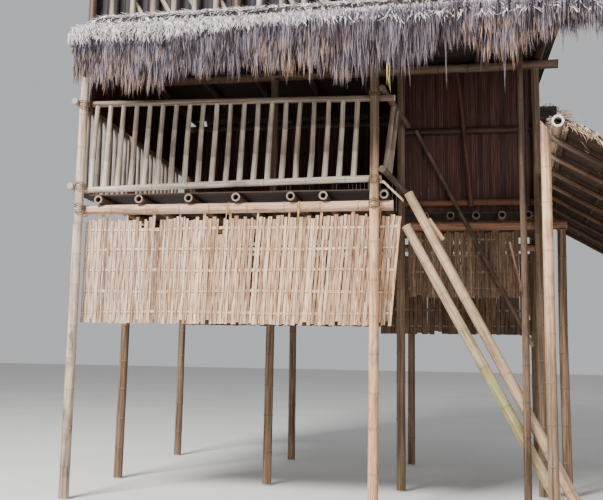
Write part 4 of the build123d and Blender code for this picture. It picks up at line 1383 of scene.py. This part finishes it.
def cap_cover():
    """Straw bent over the ridge, falling to both sides."""
    low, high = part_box("ridge_cap")
    middle = (low.y + high.y) / 2
    pieces = []
    for side in (-1, 1):
        ridge = Roof("ridge_cap", (low.x, middle, high.z), (high.x, middle, high.z), (0, side, 0),
                     (high.y - low.y) / 2)
        pieces += cover(ridge, 0.12, 0.12, 0.30, 2.0)
    thatch("ridge_cover", pieces, top_straw)


# The height of the straw along the lean-to's top edge, and how far its roof reaches out
LEAN_RIDGE_Z = 3.722
LEAN_RUN = 1.98


def lean_to_straw():
    """The lean-to's rough cover, its short eave and the straw that sticks out along its verges, painted pale
    as sunlit.
    """
    upper = max(bars("lean_to_poles"), key=lambda bar: bar[0][2])
    front, back = (Vector(end) for end in sorted(upper[:2], key=lambda end: end[1]))
    line = (front - back).normalized()
    out = Vector((-line.y, line.x, 0))
    lean = Roof("lean_to_thatch", back + out * 0.07, front + out * 0.07, out, LEAN_RUN)
    thatch("lean_to_cover", cover(lean, 0.11, 0.12, 0.28, 1.6), lean_straw)
    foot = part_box("lean_to_thatch")[0].z
    eave = fringe(lean, lambda along: foot + 0.22, lambda along: foot - 0.03, ROWS[::3], 0.07, 1.5, 0.3)
    thatch("lean_to_fringe", eave, lean_straw)
    pieces = []
    place = 0.04
    while place < lean.length - 0.04:
        spot = back + line * place + out * chance.uniform(-0.09, 0.03)
        spot.z = LEAN_RIDGE_Z + chance.uniform(-0.01, 0.012)
        down = out + line * chance.normal() * 0.3 + Vector((0, 0, -0.35 + chance.normal() * 0.08))
        pieces.append(lay_lock(lying_locks, spot, down, chance.uniform(0.16, 0.26), 1.1, 0.0,
                               chance.uniform(0, 1), 0.6))
        place += 0.022
    thatch("lean_to_ridge", pieces, lean_straw)
    pieces = []
    for at, way in ((lean.length - 0.015, 1), (0.015, -1)):
        place = 0.01
        while place < lean.run:
            spot, down = lean.point(at, place)
            if spot is not None:
                spot.z -= chance.uniform(0.0, 0.05)
                tip = line * way * chance.uniform(0.4, 1.0) + down * chance.uniform(0.2, 0.8)
                tip.z -= chance.uniform(0.1, 0.9)
                pieces.append(lay_lock(lying_locks, spot, tip, chance.uniform(0.07, 0.16), 0.7, 0.15,
                                       chance.uniform(0, 1)))
            place += 0.016
    thatch("lean_to_verge", pieces, verge_straw)


thatch_body("front_pent_thatch", under_thatch_shade, 0.03, 0.035, front_pack)
thatch_body("back_pent_thatch", under_thatch_shade, 0.03)
thatch_body("top_front_thatch", under_thatch_shade, 0.03, 0.06)
thatch_body("top_back_thatch", under_thatch_shade, 0.03, 0.06)
thatch_body("ridge_cap", under_thatch_shade, 0.02, 0.05)
thatch_body("lean_to_thatch", lean_matting, 0.012, 0.04)
front_straw()
plain_slopes()
cap_cover()
lean_to_straw()


# Floor, light and world

# Each light's place, what it points at, its size and its power
LIGHTS = {
    "key_light": ((-3.5, -9, 14), (2.5, 0, 3.0), 4.5, 6800),
    "fill_light": ((9, -13, 5), (3, 0, 2.0), 7, 750),
}


def studio():
    """A pale floor and backdrop, and two soft lights in front of the house."""
    ground = add(bpy.ops.mesh.primitive_plane_add, size=120, location=(3, 4, -0.002))
    ground.name = "studio_floor"
    material, tree, shader = sheet_of_nodes("studio_floor", 0.9)
    patches = noise(tree, place_on_house(tree), 0.6, 3)
    shade = ramp(tree, patches, [(0.3, (0.58, 0.57, 0.55)), (0.7, (0.64, 0.63, 0.61))])
    tree.links.new(shade, shader.inputs["Base Color"])
    ground.data.materials.append(material)
    world = bpy.data.worlds.new("soft_sky")
    bpy.context.scene.world = world
    world.use_nodes = True
    sky = world.node_tree.nodes["Background"]
    sky.inputs["Color"].default_value = (0.95, 0.97, 1.0, 1)
    sky.inputs["Strength"].default_value = 0.55
    for name, (place, aim, size, power) in LIGHTS.items():
        bpy.ops.object.light_add(type="AREA", location=place)
        lamp = bpy.context.object
        lamp.name = name
        lamp.data.size = size
        lamp.data.energy = power
        lamp.rotation_euler = (Vector(aim) - Vector(place)).to_track_quat("-Z", "Y").to_euler()


studio()

for shape in (*culm_stock.values(), *hanging_locks, *stray_locks, *lying_locks, one_stem):
    stow(shape)
